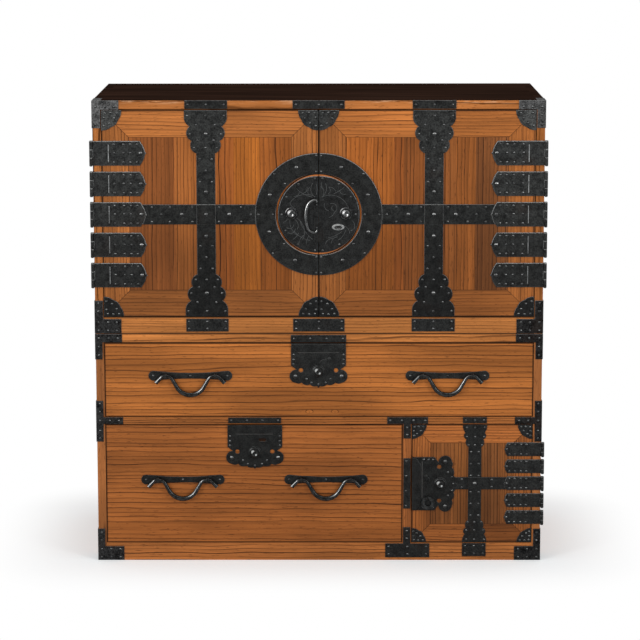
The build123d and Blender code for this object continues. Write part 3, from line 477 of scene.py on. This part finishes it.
iron = {
    "dark": (11, 11, 11),
    "light": (66, 67, 66),
    "rust": paint(46, 33, 26),
    "rustDepth": 0.3,
    "bareAndHighlight": paint(186, 188, 187),  # worn bare edges, and painted highlights on edges and knobs
    "foldHighlight": paint(96, 95, 93),
    "foldHighlightDepth": 0.7,
    "knobRadius": 14.0,
    "knobGlintSide": (-0.42, -0.82, 0.38),  # the side of each knob that gets a painted glint
    "cornerSide": (0.44, 0.5),  # where the upper outer corners start, in metres from the middle and up
    "cornerTop": (1.03, 1.08),
    "roughness": (0.3, 0.6),
    "specular": 0.25,
    "bump": (0.0007, 0.4),
    "wear": (0.01, 0.13),  # how far an edge turns before it shows bare metal and painted highlight
    "rimLightHeights": (0.35, 0.75),  # the painted highlight on the edges fades from the upper to the lower one, in metres
    "lowRimLight": 0.4,  # how much of the painted highlight is left near the floor
    "seamGuard": 3.0,  # no worn edge or painted highlight this near to the dark seam of the doors
}


def ironFinish(name, seed, dark=iron["dark"], light=iron["light"], metal=0.35, edge=0.6, rim=2.0,
               specular=iron["specular"], high=None, upper=None, right=None, lens=None, knobs=(), foldHighlights=()):
    finish = newFinish(name)
    x, y, z = finish.place()
    point = finish.vector(x + seed, y, z)
    cloud = finish.noise(point, 52.0, 4.0, 0.65)
    grit = finish.noise(point, 330.0, 3.0, 0.75)
    hammer = finish.node(
        "ShaderNodeTexVoronoi", {"feature": "SMOOTH_F1"}, {"Vector": point, "Scale": 95.0, "Smoothness": 0.9}
    )
    stain = finish.noise(point, 12.0, 2.0, 0.5)
    patch = (cloud * 0.4 + grit * 0.6).rise(0.36, 0.66)
    colour = finish.blend(patch, paint(*dark), paint(*light))
    colour = finish.blend(stain.rise(0.58, 0.75) * iron["rustDepth"], colour, iron["rust"])
    if high:  # darker towards the floor and lighter towards the top
        low, top, least, most = high
        colour = finish.dim(colour, z.rise(low * mm, top * mm).spread(least, most))
    if upper:  # lighter in the upper outer corners
        inCorner = x.size().rise(*iron["cornerSide"]) * z.rise(*iron["cornerTop"])
        colour = finish.dim(colour, 1.0 + inCorner * upper)
    if right:  # darker towards the right end of the chest
        colour = finish.dim(colour, x.rise(-0.5, 0.5).spread(1.0, right))
    if lens:  # a painted highlight round the border of a small lens-shaped plate
        lensX, lensZ, halfX, halfZ, tone = lens
        outX, outZ = (x - lensX * mm) / (halfX * mm), (z - lensZ * mm) / (halfZ * mm)
        reach = outX * outX + outZ * outZ
        lensHighlight = reach.rise(0.3, 0.6) * (1.0 - reach.rise(0.9, 1.15))
        colour = finish.blend(lensHighlight * grit.rise(0.1, 0.5), colour, paint(*tone))
    for lowX, highX, lowZ, highZ in foldHighlights:  # a painted highlight along the crease where a plate is folded
        inside = (x > lowX * mm) * (x < highX * mm) * (z > lowZ * mm) * (z < highZ * mm)
        colour = finish.blend(inside * grit.rise(0.2, 0.5) * iron["foldHighlightDepth"], colour, iron["foldHighlight"])
    # a painted glint on one side of each knob
    for spot in knobs:
        inside = farFrom(x, z, spot) < iron["knobRadius"] * mm
        shine = finish.facing(*iron["knobGlintSide"]).rise(0.9, 0.98)
        colour = finish.blend(inside * shine, colour, iron["bareAndHighlight"])
    soft = finish.rounded(rim * mm)
    toPiece = {"vector_type": "NORMAL", "convert_from": "WORLD", "convert_to": "OBJECT"}
    own = finish.node("ShaderNodeVectorTransform", toPiece, {0: soft})
    rising = finish.node("ShaderNodeSeparateXYZ", {}, {0: own}, out=2)
    # bare metal and painted highlight along the rounded edges
    worn = finish.edge(soft).rise(*iron["wear"]) * grit.rise(0.28, 0.5)
    worn = worn * rising.rise(-0.3, 0.35).spread(0.12, 1.0)  # upper edges get more of it, as painted highlight where light falls from above
    worn = worn * z.rise(*iron["rimLightHeights"]).spread(iron["lowRimLight"], 1.0)
    worn = worn * (x.size() > iron["seamGuard"] * mm)
    return finish.shade({
        "Base Color": finish.blend(worn * edge, colour, iron["bareAndHighlight"]),
        "Metallic": metal,
        "Roughness": (grit * 0.5 + cloud * 0.5).spread(*iron["roughness"]),
        "Normal": finish.bump(hammer * 0.7 + grit * 0.4, iron["bump"], soft),
        "Specular IOR Level": specular,
    })


hand = {
    "towards": (-0.48, -0.8, 0.36),  # the side that gets the painted highlight
    "metal": 0.85,
    "roughness": (0.16, 0.36),
    "specular": 0.4,
    "bump": (0.0003, 0.3),
}


def handFinish(name, seed, dark, light, paintedHighlight):  # smooth iron, with a painted highlight on the side that faces up and left
    finish = newFinish(name)
    x, y, z = finish.place()
    grit = finish.noise(finish.vector(x + seed, y, z), 160.0, 3.0, 0.6)
    colour = finish.blend(grit.rise(0.35, 0.65), paint(*dark), paint(*light))
    # painted highlight on the side given by towards
    colour = finish.blend(finish.facing(*hand["towards"]).rise(0.88, 0.98), colour, paint(*paintedHighlight))
    return finish.shade({
        "Base Color": colour,
        "Metallic": hand["metal"],
        "Roughness": grit.spread(*hand["roughness"]),
        "Normal": finish.bump(grit, hand["bump"]),
        "Specular IOR Level": hand["specular"],
    })


strapIron = ironFinish("StrapIron", 0.3, light=(54, 55, 54), high=(680.0, 1100.0, 0.58, 1.75), upper=0.9)
smallStrapIron = ironFinish("SmallStrapIron", 2.3, (13, 13, 13), (47, 48, 47), edge=0.35)
hingeIron = ironFinish("HingeIron", 1.7, (14, 14, 14), (58, 59, 58), edge=1.0, rim=3.6,
                       high=(680.0, 1000.0, 0.85, 1.5))
lockIron = ironFinish("LockIron", 3.1, light=(54, 55, 54), edge=0.9, rim=3.4)
discIron = ironFinish("DiscIron", 3.1, light=(54, 55, 55), edge=0.9, rim=3.4,
                      lens=(*keyhole, 14.5, 7.2, (186, 187, 186)))
bandIron = ironFinish("BandIron", 5.5, light=(50, 51, 51), edge=0.15)
lockPlateIron = ironFinish("LockPlateIron", 8.3, light=(52, 53, 52), edge=0.4, high=(260.0, 470.0, 0.75, 1.0),
                           knobs=((drawerLockX["top"], 472.5), (drawerLockX["low"], 270.5),
                                  (295.5, smallLockZ)),
                           foldHighlights=((-51.0, 49.0, 517.7, 519.3), (-203.0, -112.0, 316.0, 317.6),
                                    (250.6, 252.2, 135.0, 249.0)))
plateIron = ironFinish("PlateIron", 6.3, light=(54, 55, 54), edge=0.4, high=(300.0, 1100.0, 0.85, 1.2))
cornerIron = ironFinish("CornerIron", 7.1, light=(55, 55, 55), metal=0.1, specular=0.0,
                        high=(1030.0, 1085.0, 1.35, 5.6), right=0.75)
handleIron = handFinish("HandleIron", 4.9, (36, 37, 37), (66, 67, 67), (146, 148, 148))
pullIron = handFinish("PullIron", 12.2, (78, 79, 79), (108, 109, 109), (236, 237, 236))
bossIron = handFinish("BossIron", 8.7, (52, 53, 53), (96, 97, 97), (250, 250, 250))
give(cornerIron, "corner_irons")
give(plateIron, "rail_plates")
give(strapIron, "left_door_straps", "right_door_straps")
give(smallStrapIron, "small_door_straps")
give(hingeIron, "left_door_hinge_straps", "right_door_hinge_straps", "small_door_hinge_straps",
     "hinge_case_leaves", "hinge_pins")
give(lockIron, "left_lock_ring", "right_lock_ring")
give(lockPlateIron, "top_drawer_lock_plate", "low_drawer_lock_plate", "small_door_lock_plate",
     "top_drawer_handle_plates", "low_drawer_handle_plates", "top_drawer_key_cover", "small_door_key_cover")
give(discIron, "left_lock_disc", "right_lock_disc")
give(bandIron, "left_lock_band", "right_lock_band")
give(pullIron, "lock_pull")
give(handleIron, "small_door_ring_pull", "top_drawer_left_bail", "top_drawer_right_bail",
     "low_drawer_left_bail", "low_drawer_right_bail")
give(bossIron, "left_lock_boss", "right_lock_boss")

for name, node in nodes.items():
    node.data.materials.clear()
    node.data.materials.append(finishes[name])
print("ironwork ready")

# Nails

nail = {
    "sizes": {"small": (3.2, 1.7, 10), "large": (5.6, 3.1, 16)},  # radius, height, sides
    "dark": paint(24, 24, 24),
    "light": paint(60, 61, 61),
    "crownHighlights": {"small": (152, 154, 153), "large": (192, 193, 192)},  # painted highlight across the upper middle of each head
    "profile": ((1.0, 0.0), (0.92, 0.42), (0.62, 0.82), (0.0, 1.0)),  # out and up, as shares of the size
    "metal": 0.4,
    "roughness": (0.24, 0.4),
    "specular": 0.4,
}


def nailFinish(size):
    finish = newFinish(size.title() + "NailIron")
    x, y, z = finish.place()
    point = finish.vector(x, y, z)
    grit = finish.noise(point, 300.0, 2.0)
    luck = finish.noise(point, 40.0, 1.0).rise(0.35, 0.62).spread(0.3, 1.0)  # no two heads shine alike
    colour = finish.blend(grit.rise(0.35, 0.65), nail["dark"], nail["light"])
    rising, forward = finish.facing(0.0, 0.0, 1.0), finish.facing(0.0, -1.0, 0.0)
    # a painted highlight across the upper middle of each head
    crownHighlight = rising.rise(0.0, 0.18) * (1.0 - rising.rise(0.42, 0.6)) * forward.rise(0.72, 0.86)
    colour = finish.blend(crownHighlight * grit.rise(0.22, 0.5) * luck, colour, paint(*nail["crownHighlights"][size]))
    return finish.shade({
        "Base Color": colour,
        "Metallic": nail["metal"],
        "Roughness": grit.spread(*nail["roughness"]),
        "Specular IOR Level": nail["specular"],
    })


def domeHead(radius, height, sides, slot):  # a quarter profile spun round the nail's axis
    dome = bmesh.new()
    points = [dome.verts.new((radius * out * mm, -height * up * mm, 0)) for out, up in nail["profile"]]
    edges = [dome.edges.new(pair) for pair in zip(points, points[1:])]
    bmesh.ops.spin(
        dome, geom=points + edges, cent=(0, 0, 0), axis=(0, 1, 0), dvec=(0, 0, 0),
        angle=math.tau, steps=sides, use_merge=True,
    )
    bmesh.ops.remove_doubles(dome, verts=dome.verts, dist=1e-6)
    bmesh.ops.recalc_face_normals(dome, faces=dome.faces)
    mesh = bpy.data.meshes.new("nailHead")
    dome.to_mesh(mesh)
    dome.free()
    for face in mesh.polygons:
        face.material_index = slot
    return mesh


def finishPiece(name, shape, materials, body, smooth=True):
    mesh = bpy.data.meshes.new(name)
    shape.to_mesh(mesh)
    shape.free()
    for face in mesh.polygons:
        face.use_smooth = smooth
    for material in materials:
        mesh.materials.append(material)
    piece = bpy.data.objects.new(name, mesh)
    bpy.context.scene.collection.objects.link(piece)
    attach(piece, body)
    return piece


nailHeads = {size: domeHead(*nail["sizes"][size], index) for index, size in enumerate(("small", "large"))}
nailIrons = [nailFinish(size) for size in ("small", "large")]


def nailSet(name, body, nails):  # nails are (x, z, what stands under them, size)
    whole = bmesh.new()
    for x, z, lift, size in nails:
        before = len(whole.verts)
        whole.from_mesh(nailHeads[size])
        whole.verts.ensure_lookup_table()
        spot = Vector((x, frontY - lift, z)) * mm
        bmesh.ops.translate(whole, vec=spot, verts=whole.verts[before:])
    print(name, len(nails))
    return finishPiece(name, whole, nailIrons, body)


thin, thick = 1.6, 2.4  # the strap iron and the lock iron
largeHinges = {"middle": lockZ, "pitch": 73.8, "count": 5}
smallHinges = {"middle": 193.5, "pitch": 42.5, "count": 5}


def hingeRows(hinges):  # heights of a door's hinges, from the lowest
    first = hinges["middle"] - (hinges["count"] - 1) / 2 * hinges["pitch"]
    return [first + index * hinges["pitch"] for index in range(hinges["count"])]


hingeNails = {  # distances from the middle of the front, and from the middle of the hinge
    "outer": (489.0, 466.5, 450.0, 434.5), "outerRow": 21.5,
    "inner": (489.0, 466.5, 450.0), "innerRow": 1.0,
    "tip": 425.5,
    "small": (505.0, 492.0, 477.0, 464.0), "smallRow": 12.0, "smallTip": 457.5,
}


def pairNails(x, z, row):  # one above and one below
    return [(x, z + row, thin, "small"), (x, z - row, thin, "small")]


def largeHingeNails(side):
    nails = []
    for z in hingeRows(largeHinges):
        for x in hingeNails["outer"]:
            nails += pairNails(side * x, z, hingeNails["outerRow"])
        for x in hingeNails["inner"]:
            nails.append((side * x, z + hingeNails["innerRow"], thin, "small"))
        nails.append((side * hingeNails["tip"], z, thin, "large"))
    return nails


strapRows = (  # distance from the end of a strap, offsets across it, size
    (13.0, (-44.0, 0.0, 44.0), "small"),
    (35.0, (-22.5, 22.5), "small"),
    (57.0, (-37.0, 37.0), "small"),
    (57.0, (0.0,), "large"),
    (72.0, (-19.0, 19.0), "small"),
    (90.0, (-27.0, 0.0, 27.0), "small"),
    (117.0, (-14.5, 14.5), "small"),
    (144.5, (0.0,), "small"),
    (172.0, (-14.5, 14.5), "small"),
    (196.0, (0.0,), "large"),
)
smallStrapRows = (
    (6.7, (-20.0, 0.0, 24.0), "small"),
    (30.0, (-20.0, 0.0, 22.0), "small"),
    (50.5, (-16.0, 0.0, 17.0), "small"),
    (67.5, (-9.5, 9.5), "small"),
    (97.0, (-9.5, 9.5), "small"),
    (126.5, (-9.5, 9.5), "small"),
)


def strapNails(x, limits, rows):
    nails = []
    for reach, offsets, size in rows:
        for z in (limits[3] - reach, limits[2] + reach):
            nails += [(x + offset, z, thin, size) for offset in offsets]
    return nails


leftStrapX, rightStrapX, smallStrapX = -270.0, 276.0, 379.5
crossRow = 17.5
# pairs of nails along the level strap; those marked True stand by the upright one and move with it
crossPairs = ((400.0, False), (357.0, False), (303.5, True), (239.0, True), (186.0, False))
crossMiddle = ((378.0, "small"), (328.5, "large"), (214.5, "large"), (163.0, "small"))


def crossNails(side, strapX):
    nails = [(strapX, lockZ, 2 * thin, "large")]
    shift = abs(strapX) - abs(leftStrapX)
    for x, byStrap in crossPairs:
        for row in (-crossRow, crossRow):
            nails.append((side * (x + shift * byStrap), lockZ + row, thin, "small"))
    for x, size in crossMiddle:
        nails.append((side * x, lockZ, thin, size))
    return nails


def cornerNails(limits, spots):
    nails = []
    for x, xSide in ((limits[0], 1), (limits[1], -1)):
        for z, zSide in ((limits[2], 1), (limits[3], -1)):
            nails += [(x + xSide * out, z + zSide * up, thin, "small") for out, up in spots]
    return nails


# nails of a corner plate, in from the door's side and end
largeCorner = ((9.0, 6.5), (22.5, 5.5), (37.0, 6.5), (31.0, 18.5), (19.5, 31.0), (6.0, 17.0), (6.0, 37.0))
smallCorner = ((5.5, 5.5), (16.0, 4.5), (27.0, 5.0), (21.5, 15.0), (12.0, 22.5), (4.5, 15.5), (4.5, 27.0))


ringNails = {  # angles above the level, and how far out along it and up
    "large": ((65.0, 22.0, -20.0, -63.0), 126.5, 125.0),
    "pairs": ((42.5, 0.0, -40.5), (110.0, 145.0)),
    "seam": (5.6, (-141.5, -103.5, 103.5, 141.5)),
    "disc": ((84.0, 57.0, 29.0, 0.0, -26.5, -56.0, -84.0), 88.5, 87.5),
}


def ringNail(side, angle, wide, tall, size="small"):
    turn = math.radians(angle)
    return (side * wide * math.cos(turn), lockZ + tall * math.sin(turn), thick, size)


def lockNails(side):
    angles, wide, tall = ringNails["large"]
    nails = [ringNail(side, angle, wide, tall, "large") for angle in angles]
    angles, reaches = ringNails["pairs"]
    nails += [ringNail(side, angle, reach, reach) for angle in angles for reach in reaches]
    seamX, reaches = ringNails["seam"]
    nails += [(side * seamX, lockZ + reach, thick, "small") for reach in reaches]
    angles, wide, tall = ringNails["disc"]
    nails += [ringNail(side, angle, wide, tall) for angle in angles]
    return nails


for side, strapX, limits, body in (
    (-1, leftStrapX, leftDoor, "left_door"), (1, rightStrapX, rightDoor, "right_door")
):
    doorNails = largeHingeNails(side) + strapNails(strapX, limits, strapRows) + crossNails(side, strapX)
    doorNails += cornerNails(limits, largeCorner) + lockNails(side)
    nailSet(body + "_nails", body, doorNails)


smallCross = ((348.0, -10.0), (348.0, 10.0), (421.0, -9.0), (421.0, 9.0))


def smallDoorNails():
    nails = strapNails(smallStrapX, smallDoor, smallStrapRows)
    nails += cornerNails(smallDoor, smallCorner)
    nails.append((smallStrapX, smallHinges["middle"], 2 * thin, "large"))
    nails += [(x, smallHinges["middle"] + row, thin, "small") for x, row in smallCross]
    for z in hingeRows(smallHinges):
        for x in hingeNails["small"]:
            nails += pairNails(x, z, hingeNails["smallRow"])
        nails.append((hingeNails["smallTip"], z, thin, "small"))
    return nails


plateLockSpots = (  # from the middle of the hanging edge: out along it, and down from it
    (-60.5, -28.0, "small"), (-60.5, -40.0, "small"), (-60.5, -51.0, "small"),
    (60.5, -28.0, "small"), (60.5, -40.0, "small"), (60.5, -51.0, "small"),
    (-56.0, -81.0, "large"), (56.0, -81.0, "large"),
    (-29.0, -88.0, "small"), (29.0, -88.0, "small"), (-17.0, -97.0, "small"), (17.0, -97.0, "small"),
    (0.0, -101.0, "small"),
)


def plateLockNails(x, z, upright=False):
    nails = []
    for out, down, size in plateLockSpots:
        spot = (x - down, z + out) if upright else (x + out, z + down)
        nails.append((*spot, thick, size))
    return nails


handleOffsets = (-90.0, 0.0, 90.0)


def handleNails(x, z):
    return [(x + offset, z, thick, "small") for offset in handleOffsets]


nailSet("small_door_nails", "small_door", smallDoorNails() + plateLockNails(smallDoor[0], smallLockZ, True))
for drawer, limits, left, right, height in (
    ("top", topDrawer, -311.5, 311.5, 461.5), ("low", lowDrawer, -332.0, 17.0, 203.0)
):
    drawerNails = plateLockNails(drawerLockX[drawer], limits[3])
    drawerNails += handleNails(left, height) + handleNails(right, height)
    nailSet(drawer + "_drawer_nails", drawer + "_drawer", drawerNails)

casePlates = (  # the nail grid of each rail plate and T iron: x span, z span, columns, rows, inset
    ((-320.0, -218.0), (1110.0, 1130.0), 3, 1, 8.0), ((-320.0, -218.0), (570.5, 602.0), 3, 2, 7.0),
    ((-62.0, 62.0), (1110.0, 1130.0), 3, 1, 8.0), ((-62.0, 62.0), (570.5, 602.0), 3, 2, 7.0),
    ((224.0, 328.0), (1110.0, 1130.0), 3, 1, 8.0), ((224.0, 328.0), (570.5, 602.0), 3, 2, 7.0),
    ((-68.0, 66.0), (544.0, 562.0), 4, 1, 8.0), ((-220.5, -92.0), (343.5, 357.5), 4, 1, 7.0),
    ((350.0, 408.0), (343.5, 358.5), 3, 1, 7.0), ((350.0, 408.0), (10.0, 43.0), 3, 2, 7.0),
    ((205.5, 219.5), (130.0, 256.0), 1, 4, 7.0), ((166.0, 265.0), (342.0, 358.5), 4, 1, 7.0),
    ((205.5, 223.5), (305.5, 342.0), 1, 2, 9.0), ((162.0, 270.0), (7.0, 42.0), 3, 2, 8.0),
    ((205.5, 223.5), (46.0, 83.0), 1, 2, 9.0),
)
caseCorners = (  # nails of the corner irons, on both ends of the front
    (532.0, 1115.0), (509.0, 1115.0), (488.0, 1115.0), (532.0, 1095.0), (532.0, 1073.0),
    (532.0, 640.0), (532.0, 620.0), (532.0, 593.0), (509.0, 593.0), (488.0, 593.0),
    (532.0, 573.0), (509.0, 573.0), (488.0, 573.0),
    (532.0, 554.0), (508.0, 554.0), (486.0, 554.0), (532.0, 533.0), (532.0, 512.0),
    (532.0, 392.0), (532.0, 372.0), (532.0, 350.0), (508.0, 350.0), (486.0, 350.0), (532.0, 325.0),
    (532.0, 306.0), (532.0, 70.0), (532.0, 50.0), (532.0, 28.0), (509.0, 28.0), (487.0, 28.0),
    (532.0, 8.0), (509.0, 8.0), (487.0, 8.0),
)


def plateGrid(xSpan, zSpan, columns, rows, inset):
    nails = []
    for column in range(columns):
        x = xSpan[0] + inset + (xSpan[1] - xSpan[0] - 2 * inset) * (column / max(columns - 1, 1))
        for row in range(rows):
            z = zSpan[0] + inset + (zSpan[1] - zSpan[0] - 2 * inset) * row / max(rows - 1, 1)
            if rows == 1:
                z = (zSpan[0] + zSpan[1]) / 2
            nails.append((x, z, thin, "small"))
    return nails


caseNails = [spot for plate in casePlates for spot in plateGrid(*plate)]
caseNails += [(side * x, z, thin, "small") for side in (-1, 1) for x, z in caseCorners]
nailSet("case_nails", "case", caseNails)
print("nails ready")

# Ribs on the hinge straps, and the lip that brings the divider's plate to the small door

# the ribs are a lighter iron than the straps: a painted highlight along each rib
litRibIron = ironFinish("LitRibIron", 9.4, (76, 77, 77), (186, 188, 188), high=(650.0, 1000.0, 0.6, 1.2))
rib = {"x": 502.4, "wide": 2.2, "tall": 42.5, "proud": 1.1, "soft": 0.45}
lip = {"x": 221.45, "z": 193.0, "wide": 3.9, "tall": 126.0, "soft": 0.4}


def softBar(shape, x, z, wide, tall, lift, proud, soft):  # an upright bar with its front edges rounded
    spot = Vector((x, frontY - lift - proud / 2, z)) * mm
    place = Matrix.Translation(spot) @ Matrix.Diagonal((wide * mm, proud * mm, tall * mm, 1.0))
    made = bmesh.ops.create_cube(shape, size=1.0, matrix=place)
    edges = dict.fromkeys(edge for vert in made["verts"] for edge in vert.link_edges)  # each one once
    front = [edge for edge in edges if all(vert.co.y < spot.y for vert in edge.verts)]
    bmesh.ops.bevel(shape, geom=front, offset=soft * mm, segments=2, profile=0.5, affect="EDGES", material=-1)


for side, body in ((-1, "left_door"), (1, "right_door")):
    ribs = bmesh.new()
    for z in hingeRows(largeHinges):
        softBar(ribs, side * rib["x"], z, rib["wide"], rib["tall"], thin, rib["proud"], rib["soft"])
    finishPiece(body + "_hinge_ribs", ribs, [litRibIron], body, smooth=False)
lipShape = bmesh.new()
softBar(lipShape, lip["x"], lip["z"], lip["wide"], lip["tall"], 0.0, thin, lip["soft"])
finishPiece("divider_plate_lip", lipShape, [plateIron], "case", smooth=False)
print("ribs and lip ready")

# Engraving on the round lock

engraving = {
    "wide": 0.75,
    "proud": 0.08,
    "steps": (4, 7),  # the fewest in an arc, and how many to a radian
    "worn": paint(50, 51, 51),
    "metal": paint(102, 104, 104),
    "shine": 0.4,
    "left": (  # arcs of leaves and tendrils: start, a point on the way, end; from the middle of the lock
        ((-54, 63), (-39, 51), (-15, 42)), ((-69, 28.5), (-39, 48), (-9, 43.5)),
        ((-69, 28.5), (-66, 22), (-60, 15)), ((-86, -21), (-72, -11), (-60, -6)),
        ((-60, -6), (-48, -12), (-39, -24)), ((-69, -10), (-66, -33), (-52, -50)),
        ((-60, -39), (-39, -57), (-21, -63)), ((-45, -15), (-36, -36), (-15, -60)),
        ((-14, 76), (-19, 60), (-9, 42)), ((-39, -24), (-34, -44), (-40, -62)),
        ((-28, 66), (-30, 56), (-39, 51)), ((-72, 4), (-64, 6), (-58, 2)),
        ((-78, -30), (-70, -34), (-60, -24)), ((-74, -44), (-64, -45), (-56, -34)),
        ((-62, -60), (-54, -54), (-48, -44)), ((-48, -70), (-44, -59), (-36, -50)),
        ((-58, -12), (-50, -22), (-52, -36)), ((-30, -72), (-28.5, -61), (-24, -52)),
        ((-60, 44), (-52, 46), (-46, 56)), ((-22, 44), (-26, 54), (-22, 66)), ((-6, 74), (-4, 62), (-6, 48)),
    ),
    "right": (
        ((16, 76), (18, 58), (9, 42)), ((4, 68), (11, 60), (8, 42)), ((12, 44), (47, 43), (69, 21)),
        ((36, 50), (50, 58), (62, 67)), ((14, 27), (15, 16), (24, 9)), ((27, 26), (41, 23), (38, 6)),
        ((38, 6), (34, -1), (25, -7)), ((33, 20), (31, 14), (36, 10)), ((22, -57), (42, -50), (56, -41)),
        ((46, -62), (58, -52), (64, -38)), ((81, -15), (86, -26), (84, -38)), ((69, 21), (74, 8), (70, -6)),
        ((24, 66), (34, 64), (40, 56)), ((22, 50), (28, 58), (24, 66)), ((6, 78), (8, 66), (14, 58)),
        ((30, -70), (34, -60), (44, -54)), ((16, -72), (22, -62), (34, -58)), ((60, -28), (70, -34), (74, -46)),
        ((50, 58), (56, 50), (66, 50)),
    ),
}


def engravedFinish():
    finish = newFinish("EngravedLine")
    x, y, z = finish.place()
    wear = finish.noise(finish.vector(x, y, z), 90.0, 3.0, 0.7)
    return finish.shade({
        "Base Color": finish.blend(wear.rise(0.2, 0.5), engraving["worn"], engraving["metal"]),
        "Metallic": engraving["shine"],
        "Roughness": wear.spread(0.35, 0.6),
        "Specular IOR Level": engraving["shine"],
    })


def cutArc(shape, start, through, end):  # a short edge spun along the arc through three points
    first, middle, last = [Vector(point) for point in (start, through, end)]
    one, two = middle - first, last - first
    cross = 2 * (one.x * two.y - one.y * two.x)
    centre = first + Vector((
        (two.y * one.length_squared - one.y * two.length_squared) / cross,
        (one.x * two.length_squared - two.x * one.length_squared) / cross,
    ))
    radius = (first - centre).length
    turn = math.atan2(first.y - centre.y, first.x - centre.x)
    sweep = (math.atan2(last.y - centre.y, last.x - centre.x) - turn) % math.tau
    if cross < 0:
        sweep -= math.tau
    y, half = frontY - thick - engraving["proud"], engraving["wide"] / 2
    ends = []
    for reach in (radius - half, radius + half):
        spot = (centre.x + reach * math.cos(turn), y, lockZ + centre.y + reach * math.sin(turn))
        ends.append(shape.verts.new(Vector(spot) * mm))
    edge = shape.edges.new(ends)
    fewest, perRadian = engraving["steps"]
    bmesh.ops.spin(
        shape, geom=ends + [edge], cent=Vector((centre.x, y, lockZ + centre.y)) * mm, axis=(0, -1, 0),
        dvec=(0, 0, 0), angle=sweep, steps=max(fewest, int(abs(sweep) * perRadian)), use_merge=False,
    )


engraved = engravedFinish()
for side in ("left", "right"):
    lines = bmesh.new()
    for arc in engraving[side]:
        cutArc(lines, *arc)
    bmesh.ops.recalc_face_normals(lines, faces=lines.faces)
    for face in lines.faces:
        if face.normal.y > 0:  # a flat strip has no outside of its own: it faces the front
            face.normal_flip()
    finishPiece(side + "_lock_engraving", lines, [engraved], side + "_door", smooth=False)
print("engraving ready")

# Floor, lights, world and camera

studio = {
    "floorRadius": 9.0,
    "floor": (0.78, 0.8, 0.81, 1.0),
    "floorGlow": 0.3,
    "floorFade": 0.3,  # how far from the chest the floor turns plain white
    "worldLevel": 0.55,
    "frontLevel": 0.25,  # what gloss sees of the room on the viewer's side
    "frontFade": (-0.75, 0.1),  # and how it grows towards the other side
    "lamps": (  # name, place, what it lights, size and power
        ("leftLamp", (-2.6, -3.1, 1.9), (0, 0, 0.6), (0.9, 1.5), 34.0),
        ("rightLamp", (2.6, -3.1, 1.9), (0, 0, 0.6), (0.9, 1.5), 34.0),
        ("topLamp", (0, -0.6, 3.4), (0, 0, 0.5), (2.4, 1.6), 16.0),
    ),
}


def floorFinish():
    finish = newFinish("PaleFloor")
    x, y, _ = finish.place()
    diffuse = finish.node("ShaderNodeBsdfDiffuse", {}, {"Color": studio["floor"]})
    seen = finish.node("ShaderNodeLightPath")
    glow = finish.node("ShaderNodeEmission", {}, {"Strength": seen * studio["floorGlow"]})
    lit = finish.node("ShaderNodeAddShader", {}, {0: diffuse, 1: glow})
    white = finish.node("ShaderNodeEmission", {}, {"Strength": 1.0})
    outX = (x.size() - cadBox[1].x).higher(0.0)
    outY = (y.size() - halfDepth).higher(0.0)
    away = (outX * outX + outY * outY) ** 0.5
    far = away.rise(0.0, studio["floorFade"]) * seen
    return finish.close(finish.node("ShaderNodeMixShader", {}, {0: far, 1: lit, 2: white}))


floorShape = bmesh.new()
bmesh.ops.create_circle(floorShape, cap_ends=True, segments=64, radius=studio["floorRadius"])
floorMesh = bpy.data.meshes.new("floor")
floorShape.to_mesh(floorMesh)
floorShape.free()
floorMesh.materials.append(floorFinish())
floor = bpy.data.objects.new("floor", floorMesh)
bpy.context.scene.collection.objects.link(floor)


def softBox(name, spot, aim, size, power):
    light = bpy.data.lights.new(name, "AREA")
    light.shape = "RECTANGLE"
    light.size, light.size_y = size
    light.energy = power
    stand = bpy.data.objects.new(name, light)
    stand.location = spot
    stand.rotation_euler = (Vector(aim) - Vector(spot)).to_track_quat("-Z", "Y").to_euler()
    bpy.context.scene.collection.objects.link(stand)


for lamp in studio["lamps"]:
    softBox(*lamp)

world = bpy.data.worlds.new("studioWorld")
bpy.context.scene.world = world


def worldFinish():  # white to look at, softer as a light, dim to gloss on the viewer's side
    finish = Finish(world)
    direction = finish.node("ShaderNodeTexCoord", out=0)
    towards = Wire(finish, finish.node("ShaderNodeSeparateXYZ", {}, {0: direction}).socket.node.outputs[1])
    seen = finish.node("ShaderNodeLightPath", out=0)
    glossy = finish.node("ShaderNodeLightPath", out=3)
    through = finish.node("ShaderNodeLightPath", out=6)
    room = glossy * towards.rise(*studio["frontFade"]).spread(studio["frontLevel"], 1.0)
    level = seen.higher(through).higher(room).higher((1.0 - glossy) * studio["worldLevel"])
    sky = finish.node("ShaderNodeBackground", {}, {"Color": (1.0, 1.0, 1.0, 1.0), "Strength": level})
    finish.close(sky, "ShaderNodeOutputWorld")


worldFinish()

view = {
    "focal": 2443.4,  # in pixels of a 640-pixel frame
    "frame": 640.0,
    "pitch": 9.122,
    "yaw": -0.28,
    "roll": -0.071,
    "spot": (0.0202, -halfDepth - 5.8, 1.6863),
    "centre": (315.4, 256.0),  # where the optical axis meets the picture
    "sensor": 36.0,
}
camera = bpy.data.cameras.new("camera")
camera.sensor_width = view["sensor"]
camera.lens = view["focal"] / view["frame"] * camera.sensor_width
camera.shift_x = 0.5 - view["centre"][0] / view["frame"]
camera.shift_y = view["centre"][1] / view["frame"] - 0.5
camera.clip_end = 100.0
tripod = bpy.data.objects.new("camera", camera)
turnAbout = Matrix.Rotation(-math.radians(view["yaw"]), 4, "Z")
tip = Matrix.Rotation(math.radians(90 - view["pitch"]), 4, "X")
lean = Matrix.Rotation(math.radians(view["roll"]), 4, "Z")
tripod.matrix_world = Matrix.Translation(view["spot"]) @ turnAbout @ tip @ lean
bpy.context.scene.collection.objects.link(tripod)
bpy.context.scene.camera = tripod
bpy.context.scene.view_settings.view_transform = "Standard"
print("studio ready")
